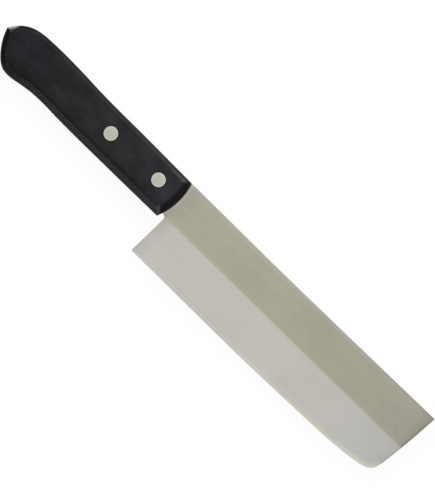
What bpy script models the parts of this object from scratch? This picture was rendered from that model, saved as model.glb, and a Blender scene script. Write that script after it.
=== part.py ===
"""A vegetable knife with a square-ended blade and a riveted wooden handle, in metres.

The knife lies on its left side. +X runs from the butt to the tip, +Y from the cutting edge to the spine and
+Z up through the thickness. Every piece is drawn about one point, where the front of the handle meets the
spine, half way through the blade. One empty then carries them all to the middle of the knife's footprint.
"""

import functools
import math

import bmesh
import bpy
import numpy as np

MM = 0.001

# Blade. Depths are measured down from the spine, runs forward from the handle.
BLADE_LENGTH = 166.8 * MM  # heel line to the spine's corner at the tip
BLADE_HEIGHT = 44.95 * MM  # spine to the straight part of the cutting edge
HEEL_SETBACK = 2.05 * MM  # front of the handle to the heel line
HEEL_RAKE = 0.6 * MM  # how far the heel line leans back on its way to the edge
STOCK_THICKNESS = 2.0 * MM
TIP_THICKNESS = 1.5 * MM  # the flats taper from the stock to this
SPINE_BOW = 1.38 * MM  # rise of the spine at the tip
SPINE_BOW_START = 55.0 * MM
SPINE_BOW_POWER = 1.25  # 1 would be a straight rise
TIP_LEAN = 5.0 * MM  # how far the square end leans back over the blade's height
TIP_CURVED_SHARE = 0.5  # part of that lean that is curved and not straight
TIP_CORNER_RADIUS = 0.9 * MM  # corner of the square end at the spine
GRIND_DEPTH = 21.35 * MM  # spine to the line where the wide bevels start, at the heel
GRIND_RISE = 0.7 * MM  # how much nearer the spine that line is at the tip
EDGE_THICKNESS = 0.5 * MM  # what the wide bevels would leave at the edge
HONED_WIDTH = 0.7 * MM  # width of the small bevel along the edge
EDGE_LAND = 0.05 * MM  # flat left on the honed edge

# The edge as (inset from the square end, rise above its straight part), from the belly round the corner.
EDGE_CURVE = [
    (104.0 * MM, 0.0 * MM),
    (71.0 * MM, 0.4 * MM),
    (44.0 * MM, 1.1 * MM),
    (23.2 * MM, 2.0 * MM),
    (11.4 * MM, 3.25 * MM),
    (5.3 * MM, 4.45 * MM),
    (2.35 * MM, 5.85 * MM),
    (0.72 * MM, 8.0 * MM),
    (0.22 * MM, 10.6 * MM),
    (0.0 * MM, 13.8 * MM),
]
EDGE_FADE_RISE = 4.5 * MM  # the small bevel starts to fade this far above the edge's straight part

# Neck and tang
NECK_DEPTH = 20.95 * MM
NECK_FILLET = 1.9 * MM
TANG_LENGTH = 66.0 * MM
TANG_END_WIDTH = 17.5 * MM
TANG_CORNER_RADIUS = 3.0 * MM

# Handle
HANDLE_LENGTH = 120.55 * MM
HANDLE_WIDTH = 23.77 * MM  # at the front
SCALE_THICKNESS = 7.7 * MM
GLUE_LINE = 0.05 * MM  # between the scales and what they are glued to
TANG_CLEARANCE = 0.1 * MM  # between the tang's edges and the spacer
FRONT_CREST = 1.36 * MM  # how far the round front reaches over the blade
FRONT_RADIUS = 34.0 * MM
FRONT_CREST_DEPTH = 10.2 * MM
SPINE_ROUNDING = (2.2 * MM, 2.6 * MM)  # each rounding as (width across the flat, depth down the side)
BUTT_ROUNDING = (2.2 * MM, 2.6 * MM)
BELLY_ROUNDING = (3.7 * MM, 4.6 * MM)
FRONT_ROUNDING = (4.6 * MM, 5.4 * MM)
FRONT_END_ROUNDING = (3.0 * MM, 4.0 * MM)
BUTT_POINT_DEPTH = 9.1 * MM

# The spine side as (distance forward of the butt, rise above the spine), from the pointed butt.
SPINE_CURVE = [
    (0.0 * MM, -BUTT_POINT_DEPTH),
    (2.7 * MM, -5.33 * MM),
    (6.7 * MM, -1.86 * MM),
    (10.7 * MM, 0.0 * MM),
    (15.7 * MM, 1.03 * MM),
    (22.7 * MM, 1.42 * MM),
    (34.7 * MM, 1.47 * MM),
    (44.7 * MM, 1.2 * MM),
    (54.7 * MM, 0.72 * MM),
]
SPINE_FRONT_RISE = 0.37 * MM  # part of the way along the straight front of the handle
SPINE_FRONT_REACH = 30.0 * MM

# The underside as (distance forward of the butt, drop below the handle's front width), from the waist.
BELLY_CURVE = [
    (48.7 * MM, 0.3 * MM),
    (38.7 * MM, 0.02 * MM),
    (30.7 * MM, 0.33 * MM),
    (23.7 * MM, 1.35 * MM),
    (17.7 * MM, 2.28 * MM),
    (13.2 * MM, 1.95 * MM),
    (9.7 * MM, 0.12 * MM),
    (6.2 * MM, -3.4 * MM),
    (2.7 * MM, -8.4 * MM),
]
BELLY_FRONT_DROP = 0.33 * MM
BELLY_FRONT_REACH = 36.0 * MM

# Rivets, in two halves that press together
FRONT_RIVET_INSET = 13.35 * MM
RIVET_SPACING = 33.15 * MM
FRONT_RIVET_DEPTH = 10.4 * MM
REAR_RIVET_DEPTH = 10.6 * MM
RIVET_HEAD_DIAMETER = 7.4 * MM
RIVET_HEAD_THICKNESS = 1.6 * MM
RIVET_HEAD_BREAK = 0.12 * MM
RIVET_TUBE_DIAMETER = 4.8 * MM
RIVET_PIN_DIAMETER = 3.2 * MM
RIVET_CLEARANCE = 0.03 * MM  # all round each rivet in its hole, and the pin in its tube
RIVET_END_GAP = 0.5 * MM  # left past the end of the tube and of the pin

# How finely round shapes are drawn
EDGE_COLUMNS = 44
SPINE_STEPS = 20
FRONT_STEPS = 14
BELLY_STEPS = 58
TOP_STEPS = 46
ROUNDING_STEPS = 6
CORNER_STEPS = 5
RIVET_SIDES = 36

# Sizes that follow
TIP_X = HEEL_SETBACK + BLADE_LENGTH
BUTT_X = -HANDLE_LENGTH
INNER_Z = STOCK_THICKNESS / 2 + GLUE_LINE
OUTER_Z = INNER_Z + SCALE_THICKNESS
RIVET_PLACES = {
    "front": (-FRONT_RIVET_INSET, -FRONT_RIVET_DEPTH),
    "rear": (-FRONT_RIVET_INSET - RIVET_SPACING, -REAR_RIVET_DEPTH),
}

# Colour, roughness and metallic value
STEEL = ((0.62, 0.61, 0.58), 0.34, 1.0)
RIVET_STEEL = ((0.72, 0.71, 0.67), 0.3, 1.0)
DARK_WOOD = ((0.022, 0.021, 0.024), 0.42, 0.0)


def smooth_curve(points):
    """Return a function that runs smoothly through the points as its share goes from 0 to 1."""
    points = np.array(points, dtype=float)
    steps = np.linalg.norm(np.diff(points[:, :2], axis=0), axis=1)
    shares = np.concatenate([[0.0], np.cumsum(steps)]) / steps.sum()
    slopes = np.gradient(points, shares, axis=0, edge_order=2)

    def at(share):
        i = min(int(np.searchsorted(shares, share, side="right")) - 1, len(steps) - 1)
        i = max(i, 0)
        span = shares[i + 1] - shares[i]
        t = (share - shares[i]) / span
        start = (2 * t**3 - 3 * t**2 + 1) * points[i] + (t**3 - 2 * t**2 + t) * span * slopes[i]
        end = (3 * t**2 - 2 * t**3) * points[i + 1] + (t**3 - t**2) * span * slopes[i + 1]
        return start + end

    return at


def arc(centre, radius, start, end, steps):
    """Return points on an arc, its ends included, with the angles in degrees."""
    angles = [math.radians(start + (end - start) * i / steps) for i in range(steps + 1)]
    return [(centre[0] + radius * math.cos(a), centre[1] + radius * math.sin(a)) for a in angles]


def shares_along(points):
    """Return how far along the line of points each one lies, from 0 to 1."""
    steps = np.linalg.norm(np.diff(np.array(points), axis=0), axis=1)
    return np.concatenate([[0.0], np.cumsum(steps)]) / steps.sum()


def blended(share):
    """Return a share that starts and ends gently."""
    share = min(max(share, 0.0), 1.0)
    return share * share * (3 - 2 * share)


# The blade's lines and its thickness


def spine_y(x):
    run = max(0.0, x - SPINE_BOW_START) / (TIP_X - SPINE_BOW_START)
    return SPINE_BOW * run**SPINE_BOW_POWER


def tip_x(y):
    """Where the square end lies at a height."""
    down = (spine_y(TIP_X) - y) / (BLADE_HEIGHT + SPINE_BOW)
    return TIP_X - TIP_LEAN * ((1 - TIP_CURVED_SHARE) * down + TIP_CURVED_SHARE * down**2)


def heel_x(y):
    """Where the heel line lies at a height."""
    top = -NECK_DEPTH - NECK_FILLET
    down = max(0.0, (top - y) / (BLADE_HEIGHT + top))
    return HEEL_SETBACK - HEEL_RAKE * down**1.5


def grind_y(x):
    """Height of the line where the wide bevel starts."""
    return -GRIND_DEPTH + GRIND_RISE * x / TIP_X


def flat_half(x):
    """Half the thickness of the flat part, which tapers in front of the heel."""
    run = max(0.0, x - HEEL_SETBACK) / BLADE_LENGTH
    return (STOCK_THICKNESS + (TIP_THICKNESS - STOCK_THICKNESS) * run) / 2


def bevel_half(x, y):
    """Half the thickness on the wide bevel, which is flat from the grind line to the edge."""
    start = grind_y(x)
    down = min(max((start - y) / (start + BLADE_HEIGHT), 0.0), 1.0)
    return flat_half(x) + (EDGE_THICKNESS / 2 - flat_half(x)) * down


def edge_line():
    """Return the cutting edge from the heel's corner to where it fades out on the square end."""
    corner = [(heel_x(-BLADE_HEIGHT), -BLADE_HEIGHT + 0.4 * HONED_WIDTH)]
    belly = [(tip_x(rise - BLADE_HEIGHT) - inset, rise - BLADE_HEIGHT) for inset, rise in EDGE_CURVE]
    straight = [(corner[0][0] + 0.6 * HONED_WIDTH, -BLADE_HEIGHT)]
    along = smooth_curve(belly)
    columns = EDGE_COLUMNS - len(corner) - len(straight)
    # Columns crowd towards the corner of the tip, where the line bends most.
    crowded = [1 - (1 - i / (columns - 1)) ** 1.7 for i in range(columns)]
    return corner + straight + [tuple(along(share)) for share in crowded]


def honed_line(edge):
    """Return the inner line of the small bevel, and how far the bevel has faded at each column."""
    places, fades = [], []
    fade_from = EDGE_FADE_RISE - BLADE_HEIGHT
    for i, (x, y) in enumerate(edge):
        before, after = edge[max(i - 1, 0)], edge[min(i + 1, len(edge) - 1)]
        run, rise = after[0] - before[0], after[1] - before[1]
        length = math.hypot(run, rise)
        fade = blended((y - fade_from) / (edge[-1][1] - fade_from))
        width = HONED_WIDTH * (1 - fade)
        if i == 0:
            place = (heel_x(y + width), y + width)
        else:
            place = (x - width * rise / length, y + width * run / length)
        places.append(place)
        fades.append(fade)
    return places, fades


def tang_line(clearance):
    """Return the tang's lower edge and rear end, from the handle's front to its spine."""
    front = (FRONT_CREST, -NECK_DEPTH - clearance)
    rear = -TANG_LENGTH - clearance
    lower = -TANG_END_WIDTH - clearance
    centre = (rear + TANG_CORNER_RADIUS + clearance, lower + TANG_CORNER_RADIUS + clearance)
    corner = arc(centre, TANG_CORNER_RADIUS + clearance, 270, 180, CORNER_STEPS)
    return [front] + corner + [(rear, handle_top_y(rear))]


def make_blade():
    """The blade and its tang, ground flat from the spine and bevelled from the grind line to the edge."""
    points = []

    def add(x, y, half):
        points.append((x, y, half))
        return len(points) - 1

    edge = edge_line()
    honed, fades = honed_line(edge)
    shares = shares_along(edge)
    tip_grind_y = grind_y(TIP_X)
    tip_grind_x = tip_x(tip_grind_y)

    grind_row, middle_row, honed_row, edge_row = [], [], [], []
    for i, ((edge_x, edge_y), (honed_x, honed_y)) in enumerate(zip(edge, honed)):
        x = HEEL_SETBACK + (tip_grind_x - HEEL_SETBACK) * shares[i]
        y = grind_y(x)
        if i == 0:
            y = -NECK_DEPTH - NECK_FILLET
        middle_x, middle_y = (x + honed_x) / 2, (y + honed_y) / 2
        if i == 0:
            middle_x = heel_x(middle_y)
        if i == len(edge) - 1:
            middle_x = tip_x(middle_y)
        full = bevel_half(edge_x, edge_y)
        grind_row.append(add(x, y, flat_half(x)))
        middle_row.append(add(middle_x, middle_y, bevel_half(middle_x, middle_y)))
        edge_row.append(add(edge_x, edge_y, EDGE_LAND / 2 + (full - EDGE_LAND / 2) * fades[i]))
        last = i == len(edge) - 1
        honed_row.append(edge_row[-1] if last else add(honed_x, honed_y, bevel_half(honed_x, honed_y)))

    heel_top = add(HEEL_SETBACK, spine_y(HEEL_SETBACK), flat_half(HEEL_SETBACK))
    spine_row = [heel_top]
    for i in range(1, SPINE_STEPS + 1):
        x = HEEL_SETBACK + (BLADE_LENGTH - TIP_CORNER_RADIUS) * i / SPINE_STEPS
        spine_row.append(add(x, spine_y(x), flat_half(x)))
    corner_centre = (TIP_X - TIP_CORNER_RADIUS, spine_y(TIP_X) - TIP_CORNER_RADIUS)
    for x, y in arc(corner_centre, TIP_CORNER_RADIUS, 90, 0, CORNER_STEPS)[1:]:
        x = min(x, tip_x(y))
        spine_row.append(add(x, y, flat_half(x)))
    end_row = []
    end_top = corner_centre[1]
    for i in range(1, CORNER_STEPS):
        y = end_top + (tip_grind_y - end_top) * i / CORNER_STEPS
        end_row.append(add(tip_x(y), y, flat_half(tip_x(y))))

    full_half = STOCK_THICKNESS / 2
    top_row = []
    for i in range(1, SPINE_STEPS + 1):
        x = HEEL_SETBACK - (HEEL_SETBACK + TANG_LENGTH) * i / SPINE_STEPS
        top_row.append(add(x, handle_top_y(x) if x < 0 else spine_y(x), full_half))
    tang_row = [add(x, y, full_half) for x, y in reversed(tang_line(0.0)[1:-1])]
    neck_centre = (HEEL_SETBACK - NECK_FILLET, -NECK_DEPTH - NECK_FILLET)
    neck_row = [add(x, y, full_half) for x, y in arc(neck_centre, NECK_FILLET, 90, 0, CORNER_STEPS)[:-1]]

    faces = [spine_row + end_row + list(reversed(grind_row))]
    faces.append([heel_top] + top_row + tang_row + neck_row + [grind_row[0]])
    for upper, lower in ((grind_row, middle_row), (middle_row, honed_row), (honed_row, edge_row)):
        for i in range(len(upper) - 1):
            corners = [upper[i], upper[i + 1], lower[i + 1], lower[i]]
            faces.append(list(dict.fromkeys(corners)))
    boundary = spine_row + end_row + [grind_row[-1], middle_row[-1]]
    boundary += list(reversed(edge_row)) + [honed_row[0], middle_row[0], grind_row[0]]
    boundary += list(reversed(neck_row)) + list(reversed(tang_row)) + list(reversed(top_row))

    bm = bmesh.new()
    upper = [bm.verts.new((x, y, half)) for x, y, half in points]
    lower = [bm.verts.new((x, y, -half)) for x, y, half in points]
    for face in faces:
        bm.faces.new([upper[i] for i in face])
        bm.faces.new([lower[i] for i in reversed(face)])
    for a, b in zip(boundary, boundary[1:] + boundary[:1]):
        bm.faces.new((upper[a], lower[a], lower[b], upper[b]))
    return finished("blade", bm, STEEL)


# The handle's outline: three smooth sides that meet at three corners


def handle_sides():
    """Return the front, belly and spine sides, each as points of (x, y, rounding width, rounding depth)."""
    front_corner = (front_x(0.0), 0.0)
    belly_corner = (front_x(-HANDLE_WIDTH), -HANDLE_WIDTH)
    crest = (FRONT_CREST, -FRONT_CREST_DEPTH)
    butt = (BUTT_X, -BUTT_POINT_DEPTH)

    front = [front_corner + FRONT_END_ROUNDING]
    for share in (0.25, 0.5, 0.75, 1.0):
        y = crest[1] * share
        rounding = between(FRONT_END_ROUNDING, FRONT_ROUNDING, blended(share))
        front.append((front_x(y), y) + rounding)
    for share in (0.25, 0.5, 0.75, 1.0):
        y = crest[1] + (belly_corner[1] - crest[1]) * share
        rounding = between(FRONT_ROUNDING, FRONT_END_ROUNDING, blended(share))
        front.append((front_x(y), y) + rounding)

    belly = [belly_corner + BELLY_ROUNDING]
    belly.append((-BELLY_FRONT_REACH, -HANDLE_WIDTH - BELLY_FRONT_DROP) + BELLY_ROUNDING)
    for forward, drop in BELLY_CURVE:
        share = blended((BELLY_CURVE[5][0] - forward) / (BELLY_CURVE[5][0] - BELLY_CURVE[7][0]))
        rounding = between(BELLY_ROUNDING, BUTT_ROUNDING, share)
        belly.append((BUTT_X + forward, -HANDLE_WIDTH - drop) + rounding)
    belly.append(butt + BUTT_ROUNDING)

    top = [(BUTT_X + forward, rise) + BUTT_ROUNDING for forward, rise in SPINE_CURVE[:4]]
    top += [(BUTT_X + forward, rise) + SPINE_ROUNDING for forward, rise in SPINE_CURVE[4:]]
    top += [(-SPINE_FRONT_REACH, SPINE_FRONT_RISE) + SPINE_ROUNDING, front_corner + SPINE_ROUNDING]
    return (front, FRONT_STEPS), (belly, BELLY_STEPS), (top, TOP_STEPS)


def front_x(y):
    """Where the round front of the handle lies at a height."""
    away = y + FRONT_CREST_DEPTH
    return FRONT_CREST - FRONT_RADIUS + math.sqrt(FRONT_RADIUS**2 - away**2)


def between(first, second, share):
    return tuple(a + (b - a) * share for a, b in zip(first, second))


@functools.cache
def handle_top():
    """Return close samples of the handle's spine side, from the butt to the front."""
    top = smooth_curve(handle_sides()[2][0])
    return np.array([top(i / 200)[:2] for i in range(201)])


def handle_top_y(x):
    """Height of the handle's spine side at a place along it."""
    samples = handle_top()
    return float(np.interp(x, samples[:, 0], samples[:, 1]))


def inward(along, share):
    """Return the unit vector that points into the handle from a place on one of its sides."""
    step = 0.002
    run = along(min(share + step, 1.0))[:2] - along(max(share - step, 0.0))[:2]
    return np.array([run[1], -run[0]]) / np.linalg.norm(run)


def handle_outline():
    """Return the outline's points, the matching points of the flat face and each one's rounding depth."""
    sides = [(smooth_curve(points), steps) for points, steps in handle_sides()]
    corners = []
    for (before, _), (after, _) in zip(sides[-1:] + sides[:-1], sides):
        normals = np.array([inward(before, 1.0), inward(after, 0.0)])
        widths = np.array([before(1.0)[2], after(0.0)[2]])
        corners.append(after(0.0)[:2] + np.linalg.solve(normals, widths))

    outer, inner, depths = [], [], []
    for i, (along, steps) in enumerate(sides):
        start, end = along(0.0)[:2], along(1.0)[:2]
        near, far = corners[i], corners[(i + 1) % len(sides)]
        length = sum(np.linalg.norm(along((j + 1) / 100)[:2] - along(j / 100)[:2]) for j in range(100))
        # The flat face is shorter than the outline, so its points start and end further along each side.
        first = np.dot(near - start, along(0.01)[:2] - start) / np.linalg.norm(along(0.01)[:2] - start)
        last = np.dot(end - far, end - along(0.99)[:2]) / np.linalg.norm(end - along(0.99)[:2])
        for j in range(steps):
            share = j / steps
            place = along(share)
            moved = first / length + (1 - (first + last) / length) * share
            face = along(moved)[:2] + inward(along, moved) * along(moved)[2]
            outer.append(place[:2])
            inner.append(near if j == 0 else face)
            depths.append(place[3])
    return outer, inner, depths


def make_scale(name, side):
    """One handle scale: flat inside and out, with rolled edges whose width changes round the handle."""
    outer, inner, depths = handle_outline()
    bm = bmesh.new()
    rings = [[bm.verts.new((x, y, side * INNER_Z)) for x, y in outer]]
    for step in range(ROUNDING_STEPS + 1):
        angle = math.radians(90) * step / ROUNDING_STEPS
        inset, drop = 1 - math.cos(angle), 1 - math.sin(angle)
        ring = []
        for place, face, depth in zip(outer, inner, depths):
            x, y = place + (face - place) * inset
            ring.append(bm.verts.new((x, y, side * (OUTER_Z - depth * drop))))
        rings.append(ring)
    bm.faces.new(rings[0])
    bm.faces.new(rings[-1])
    bridge(bm, rings)
    return finished(name, bm, DARK_WOOD, smooth=True)


def make_spacer():
    """The filler between the scales, below and behind the tang."""
    front, belly, top = [(smooth_curve(points), steps) for points, steps in handle_sides()]
    gap = tang_line(TANG_CLEARANCE)
    ledge = gap[0][1]
    outline = [(front_x(ledge), ledge)]
    outline += [tuple(front[0](i / 40)[:2]) for i in range(40) if front[0](i / 40)[1] < ledge]
    outline += [tuple(belly[0](i / belly[1])[:2]) for i in range(belly[1])]
    top_places = [tuple(top[0](i / top[1])[:2]) for i in range(top[1])]
    outline += [place for place in top_places if place[0] < gap[-1][0] - TANG_CLEARANCE]
    outline += list(reversed(gap[1:]))
    bm = bmesh.new()
    half = STOCK_THICKNESS / 2
    rings = [[bm.verts.new((x, y, z)) for x, y in outline] for z in (-half, half)]
    bm.faces.new(rings[0])
    bm.faces.new(rings[1])
    bridge(bm, rings)
    return finished("tang_spacer", bm, DARK_WOOD)


# Rivets


def turned(name, profile, place, look, smooth=True):
    """A solid turned about an upright axis, from (radius, z) points that start and end on the axis."""
    bm = bmesh.new()
    ends = [bm.verts.new((0.0, 0.0, z)) for radius, z in (profile[0], profile[-1])]
    rings = []
    for radius, z in profile[1:-1]:
        angles = [2 * math.pi * i / RIVET_SIDES for i in range(RIVET_SIDES)]
        rings.append([bm.verts.new((radius * math.cos(a), radius * math.sin(a), z)) for a in angles])
    bridge(bm, rings)
    for end, ring in zip(ends, (rings[0], rings[-1])):
        for a, b in zip(ring, ring[1:] + ring[:1]):
            bm.faces.new((end, a, b))
    piece = finished(name, bm, look, smooth=smooth)
    piece.location = (place[0], place[1], 0.0)
    return piece


def make_rivet(which, place):
    """Both halves of a rivet: a tube with a head from the left, and a pin with a head from the right."""
    head = RIVET_HEAD_DIAMETER / 2
    tube = RIVET_TUBE_DIAMETER / 2
    pin = RIVET_PIN_DIAMETER / 2
    seat = OUTER_Z - RIVET_HEAD_THICKNESS
    tube_end = seat - RIVET_END_GAP
    female = [
        (0.0, -OUTER_Z),
        (head - RIVET_HEAD_BREAK, -OUTER_Z),
        (head, -OUTER_Z + RIVET_HEAD_BREAK),
        (head, -seat),
        (tube, -seat),
        (tube, tube_end),
        (pin + RIVET_CLEARANCE, tube_end),
        (pin + RIVET_CLEARANCE, -seat),
        (0.0, -seat),
    ]
    male = [
        (0.0, OUTER_Z),
        (head - RIVET_HEAD_BREAK, OUTER_Z),
        (head, OUTER_Z - RIVET_HEAD_BREAK),
        (head, seat),
        (pin, seat),
        (pin, -seat + RIVET_END_GAP),
        (0.0, -seat + RIVET_END_GAP),
    ]
    pieces = [
        turned(f"{which}_rivet_female", female, place, RIVET_STEEL),
        turned(f"{which}_rivet_male", male, place, RIVET_STEEL),
    ]
    return pieces


def make_rivet_cutter(which, place):
    """The stepped hole that a rivet needs through both scales and the tang."""
    head = RIVET_HEAD_DIAMETER / 2 + RIVET_CLEARANCE
    hole = RIVET_TUBE_DIAMETER / 2 + RIVET_CLEARANCE
    seat = OUTER_Z - RIVET_HEAD_THICKNESS - RIVET_CLEARANCE
    past = OUTER_Z + RIVET_HEAD_THICKNESS
    profile = [
        (0.0, -past),
        (head, -past),
        (head, -seat),
        (hole, -seat),
        (hole, seat),
        (head, seat),
        (head, past),
        (0.0, past),
    ]
    cutter = turned(f"{which}_rivet_hole", profile, place, RIVET_STEEL, smooth=False)
    cutter.hide_render = True
    cutter.display_type = "WIRE"
    return cutter


# Meshes and materials


def bridge(bm, rings):
    """Join rings of equally many vertices with four-sided faces."""
    for lower, upper in zip(rings, rings[1:]):
        count = len(lower)
        for i in range(count):
            j = (i + 1) % count
            bm.faces.new((lower[i], lower[j], upper[j], upper[i]))


def finished(name, bm, look, smooth=False):
    """Turn a bmesh into an object with its own material."""
    bmesh.ops.recalc_face_normals(bm, faces=bm.faces)
    mesh = bpy.data.meshes.new(name)
    bm.to_mesh(mesh)
    bm.free()
    if smooth:
        mesh.shade_smooth()
        mesh.set_sharp_from_angle(angle=math.radians(35))
    colour, roughness, metallic = look
    material = bpy.data.materials.new(name)
    material.use_nodes = True
    surface = material.node_tree.nodes["Principled BSDF"]
    surface.inputs["Base Color"].default_value = (*colour, 1.0)
    surface.inputs["Roughness"].default_value = roughness
    surface.inputs["Metallic"].default_value = metallic
    material.diffuse_color = (*colour, 1.0)
    mesh.materials.append(material)
    piece = bpy.data.objects.new(name, mesh)
    bpy.context.scene.collection.objects.link(piece)
    return piece


def cut(piece, cutter):
    modifier = piece.modifiers.new(cutter.name, "BOOLEAN")
    modifier.operation = "DIFFERENCE"
    modifier.solver = "EXACT"
    modifier.object = cutter


def stand(pieces, cutters):
    """Carry the whole knife to the middle of its footprint, with its lowest face on the ground."""
    corners = []
    for piece in pieces:
        corners += [np.array(vertex.co) + np.array(piece.location) for vertex in piece.data.vertices]
    low, high = np.min(corners, axis=0), np.max(corners, axis=0)
    carrier = bpy.data.objects.new("knife", None)
    bpy.context.scene.collection.objects.link(carrier)
    carrier.location = (-(low[0] + high[0]) / 2, -(low[1] + high[1]) / 2, -low[2])
    for piece in pieces + cutters:
        piece.parent = carrier


def main():
    for leftover in list(bpy.data.objects):
        bpy.data.objects.remove(leftover)
    blade = make_blade()
    scales = [make_scale("right_scale", 1), make_scale("left_scale", -1)]
    spacer = make_spacer()
    rivets, cutters = [], []
    for which, place in RIVET_PLACES.items():
        rivets += make_rivet(which, place)
        cutter = make_rivet_cutter(which, place)
        for piece in [blade] + scales:
            cut(piece, cutter)
        cutters.append(cutter)
    stand([blade, spacer] + scales + rivets, cutters)


main()
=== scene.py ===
"""Dress a vegetable knife: a square-ended ground blade, a riveted dark wooden handle and a pale studio.

The CAD model is the frame. Every piece is drawn about one point, the datum, where the front of the handle
meets the spine, half way through the blade. A finished piece is then carried to that point of the frame.
"""

import logging
import math
from collections.abc import Callable, Iterable, Mapping, Sequence
from dataclasses import dataclass, field
from enum import Enum
from functools import partial, reduce
from typing import Any

import bmesh
import bpy
import numpy as np
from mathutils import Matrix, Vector


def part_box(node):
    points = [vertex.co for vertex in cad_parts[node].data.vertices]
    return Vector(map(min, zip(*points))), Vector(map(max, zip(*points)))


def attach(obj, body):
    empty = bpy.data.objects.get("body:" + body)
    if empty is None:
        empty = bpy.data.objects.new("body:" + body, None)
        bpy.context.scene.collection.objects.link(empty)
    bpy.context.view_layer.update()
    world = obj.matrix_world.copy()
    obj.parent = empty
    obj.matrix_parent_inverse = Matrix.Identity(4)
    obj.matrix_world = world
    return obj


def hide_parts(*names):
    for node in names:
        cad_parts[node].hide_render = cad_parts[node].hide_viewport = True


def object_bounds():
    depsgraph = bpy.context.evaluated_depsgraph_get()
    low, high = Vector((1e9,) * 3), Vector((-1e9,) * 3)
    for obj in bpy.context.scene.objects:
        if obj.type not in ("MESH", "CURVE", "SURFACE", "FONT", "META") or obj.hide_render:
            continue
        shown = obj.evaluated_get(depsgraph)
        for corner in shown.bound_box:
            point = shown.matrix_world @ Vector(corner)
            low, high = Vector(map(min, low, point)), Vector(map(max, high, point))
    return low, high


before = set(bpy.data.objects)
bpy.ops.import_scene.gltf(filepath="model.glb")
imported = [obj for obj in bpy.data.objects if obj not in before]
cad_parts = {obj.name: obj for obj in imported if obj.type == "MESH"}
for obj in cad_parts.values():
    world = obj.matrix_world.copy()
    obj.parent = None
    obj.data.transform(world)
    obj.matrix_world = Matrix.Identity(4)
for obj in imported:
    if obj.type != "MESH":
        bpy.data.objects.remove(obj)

MM = 0.001
BODY = "root"
CAD_LOW, CAD_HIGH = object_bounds()

Colour = tuple[float, float, float]
Place = tuple[float, float]
Span = tuple[float, float]
Material = bpy.types.Material
Node = bpy.types.Node
Piece = bpy.types.Object
Socket = bpy.types.NodeSocket
Tree = bpy.types.NodeTree

log = logging.getLogger("knife")


class Slot(Enum):
    """The record's material slots."""

    BLADE = "blade_steel"
    HANDLE = "handle_wood"
    RIVET = "rivet_steel"


class Pick(Enum):
    """What an edit-mode selection is made of."""

    CORNERS = "VERT"
    EDGES = "EDGE"
    FACES = "FACE"


class Side(Enum):
    """The knife's sides, as the sign of the way out through its thickness."""

    RIGHT = 1
    LEFT = -1


class Zone(Enum):
    """The blade's material slots."""

    GROUND = 0
    SPINE = 1
    HONED = 2
    EASED = 3


# Plan curves

# Steps along a curve that its length, and the paths drawn from it, are taken in.
LENGTH_STEPS = 100
PATH_STEPS = 160
# Shares of a curve over which its direction is read, half way along and at its ends.
SLOPE_REACH = 0.002
END_REACH = 0.01
# The search for a corner: the share that slopes are read over, and the rounds that it takes.
SEARCH_STEP = 1e-4
SEARCH_ROUNDS = 12
QUARTERS = (0.25, 0.5, 0.75, 1.0)


def unit(run: np.ndarray) -> np.ndarray:
    """Return the unit vector along a run."""
    return run / np.linalg.norm(run)


@dataclass(frozen=True)
class SmoothCurve:
    """A curve that runs smoothly through rows of numbers, the first two of which are its place.

    A share of the way along it goes from 0 at the first row to 1 at the last one.
    """

    rows: tuple[tuple[float, ...], ...]

    def _knots(self) -> tuple[np.ndarray, np.ndarray, np.ndarray]:
        """Measure the curve at its rows.

        Returns:
            The rows, each one's share of the length and the slopes there.
        """
        rows = np.array(self.rows, dtype=float)
        steps = np.linalg.norm(np.diff(rows[:, :2], axis=0), axis=1)
        shares = np.concatenate([[0.0], np.cumsum(steps)]) / steps.sum()
        return rows, shares, np.gradient(rows, shares, axis=0, edge_order=2)

    def at(self, share: float) -> np.ndarray:
        """Interpolate between the rows.

        Args:
            share: how far along the curve.

        Returns:
            The row there.
        """
        rows, shares, slopes = self._knots()
        i = min(max(int(np.searchsorted(shares, share, side="right")) - 1, 0), len(rows) - 2)
        span = shares[i + 1] - shares[i]
        t = (share - shares[i]) / span
        start = (2 * t**3 - 3 * t**2 + 1) * rows[i] + (t**3 - 2 * t**2 + t) * span * slopes[i]
        end = (3 * t**2 - 2 * t**3) * rows[i + 1] + (t**3 - t**2) * span * slopes[i + 1]
        return start + end

    def places(self, steps: int) -> np.ndarray:
        """Return the places at even shares of the way along, with both ends."""
        return np.array([self.at(i / steps)[:2] for i in range(steps + 1)])

    def length(self) -> float:
        """Return the curve's length."""
        return float(np.linalg.norm(np.diff(self.places(LENGTH_STEPS), axis=0), axis=1).sum())

    def inward(self, share: float) -> np.ndarray:
        """Return the unit vector to the right of the way along, which is into the handle."""
        run = self.at(min(share + SLOPE_REACH, 1.0))[:2] - self.at(max(share - SLOPE_REACH, 0.0))[:2]
        return unit(np.array([run[1], -run[0]]))

    def inset(self, share: float, margin: float) -> np.ndarray:
        """Return the place that lies inside the curve by its rounding's width and a margin."""
        row = self.at(share)
        return row[:2] + self.inward(share) * (row[2] + margin)


def crossing(before: SmoothCurve, after: SmoothCurve, margin: float) -> tuple[np.ndarray, float, float]:
    """Find where the inset lines of two sides that meet at a corner cross.

    Args:
        before: the side that ends at the corner.
        after: the side that starts there.
        margin: how far inside the roundings the lines lie.

    Returns:
        The place, and how far along each side it lies, as a share.
    """
    shares = np.array([1 - before.at(1.0)[2] / before.length(), after.at(0.0)[2] / after.length()])
    for _ in range(SEARCH_ROUNDS):
        first, second = before.inset(shares[0], margin), after.inset(shares[1], margin)
        first_slope = (before.inset(shares[0] + SEARCH_STEP, margin) - first) / SEARCH_STEP
        second_slope = (after.inset(shares[1] + SEARCH_STEP, margin) - second) / SEARCH_STEP
        shares = shares - np.linalg.solve(np.column_stack([first_slope, -second_slope]), first - second)
    return after.inset(shares[1], margin), float(shares[0]), float(shares[1])


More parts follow.
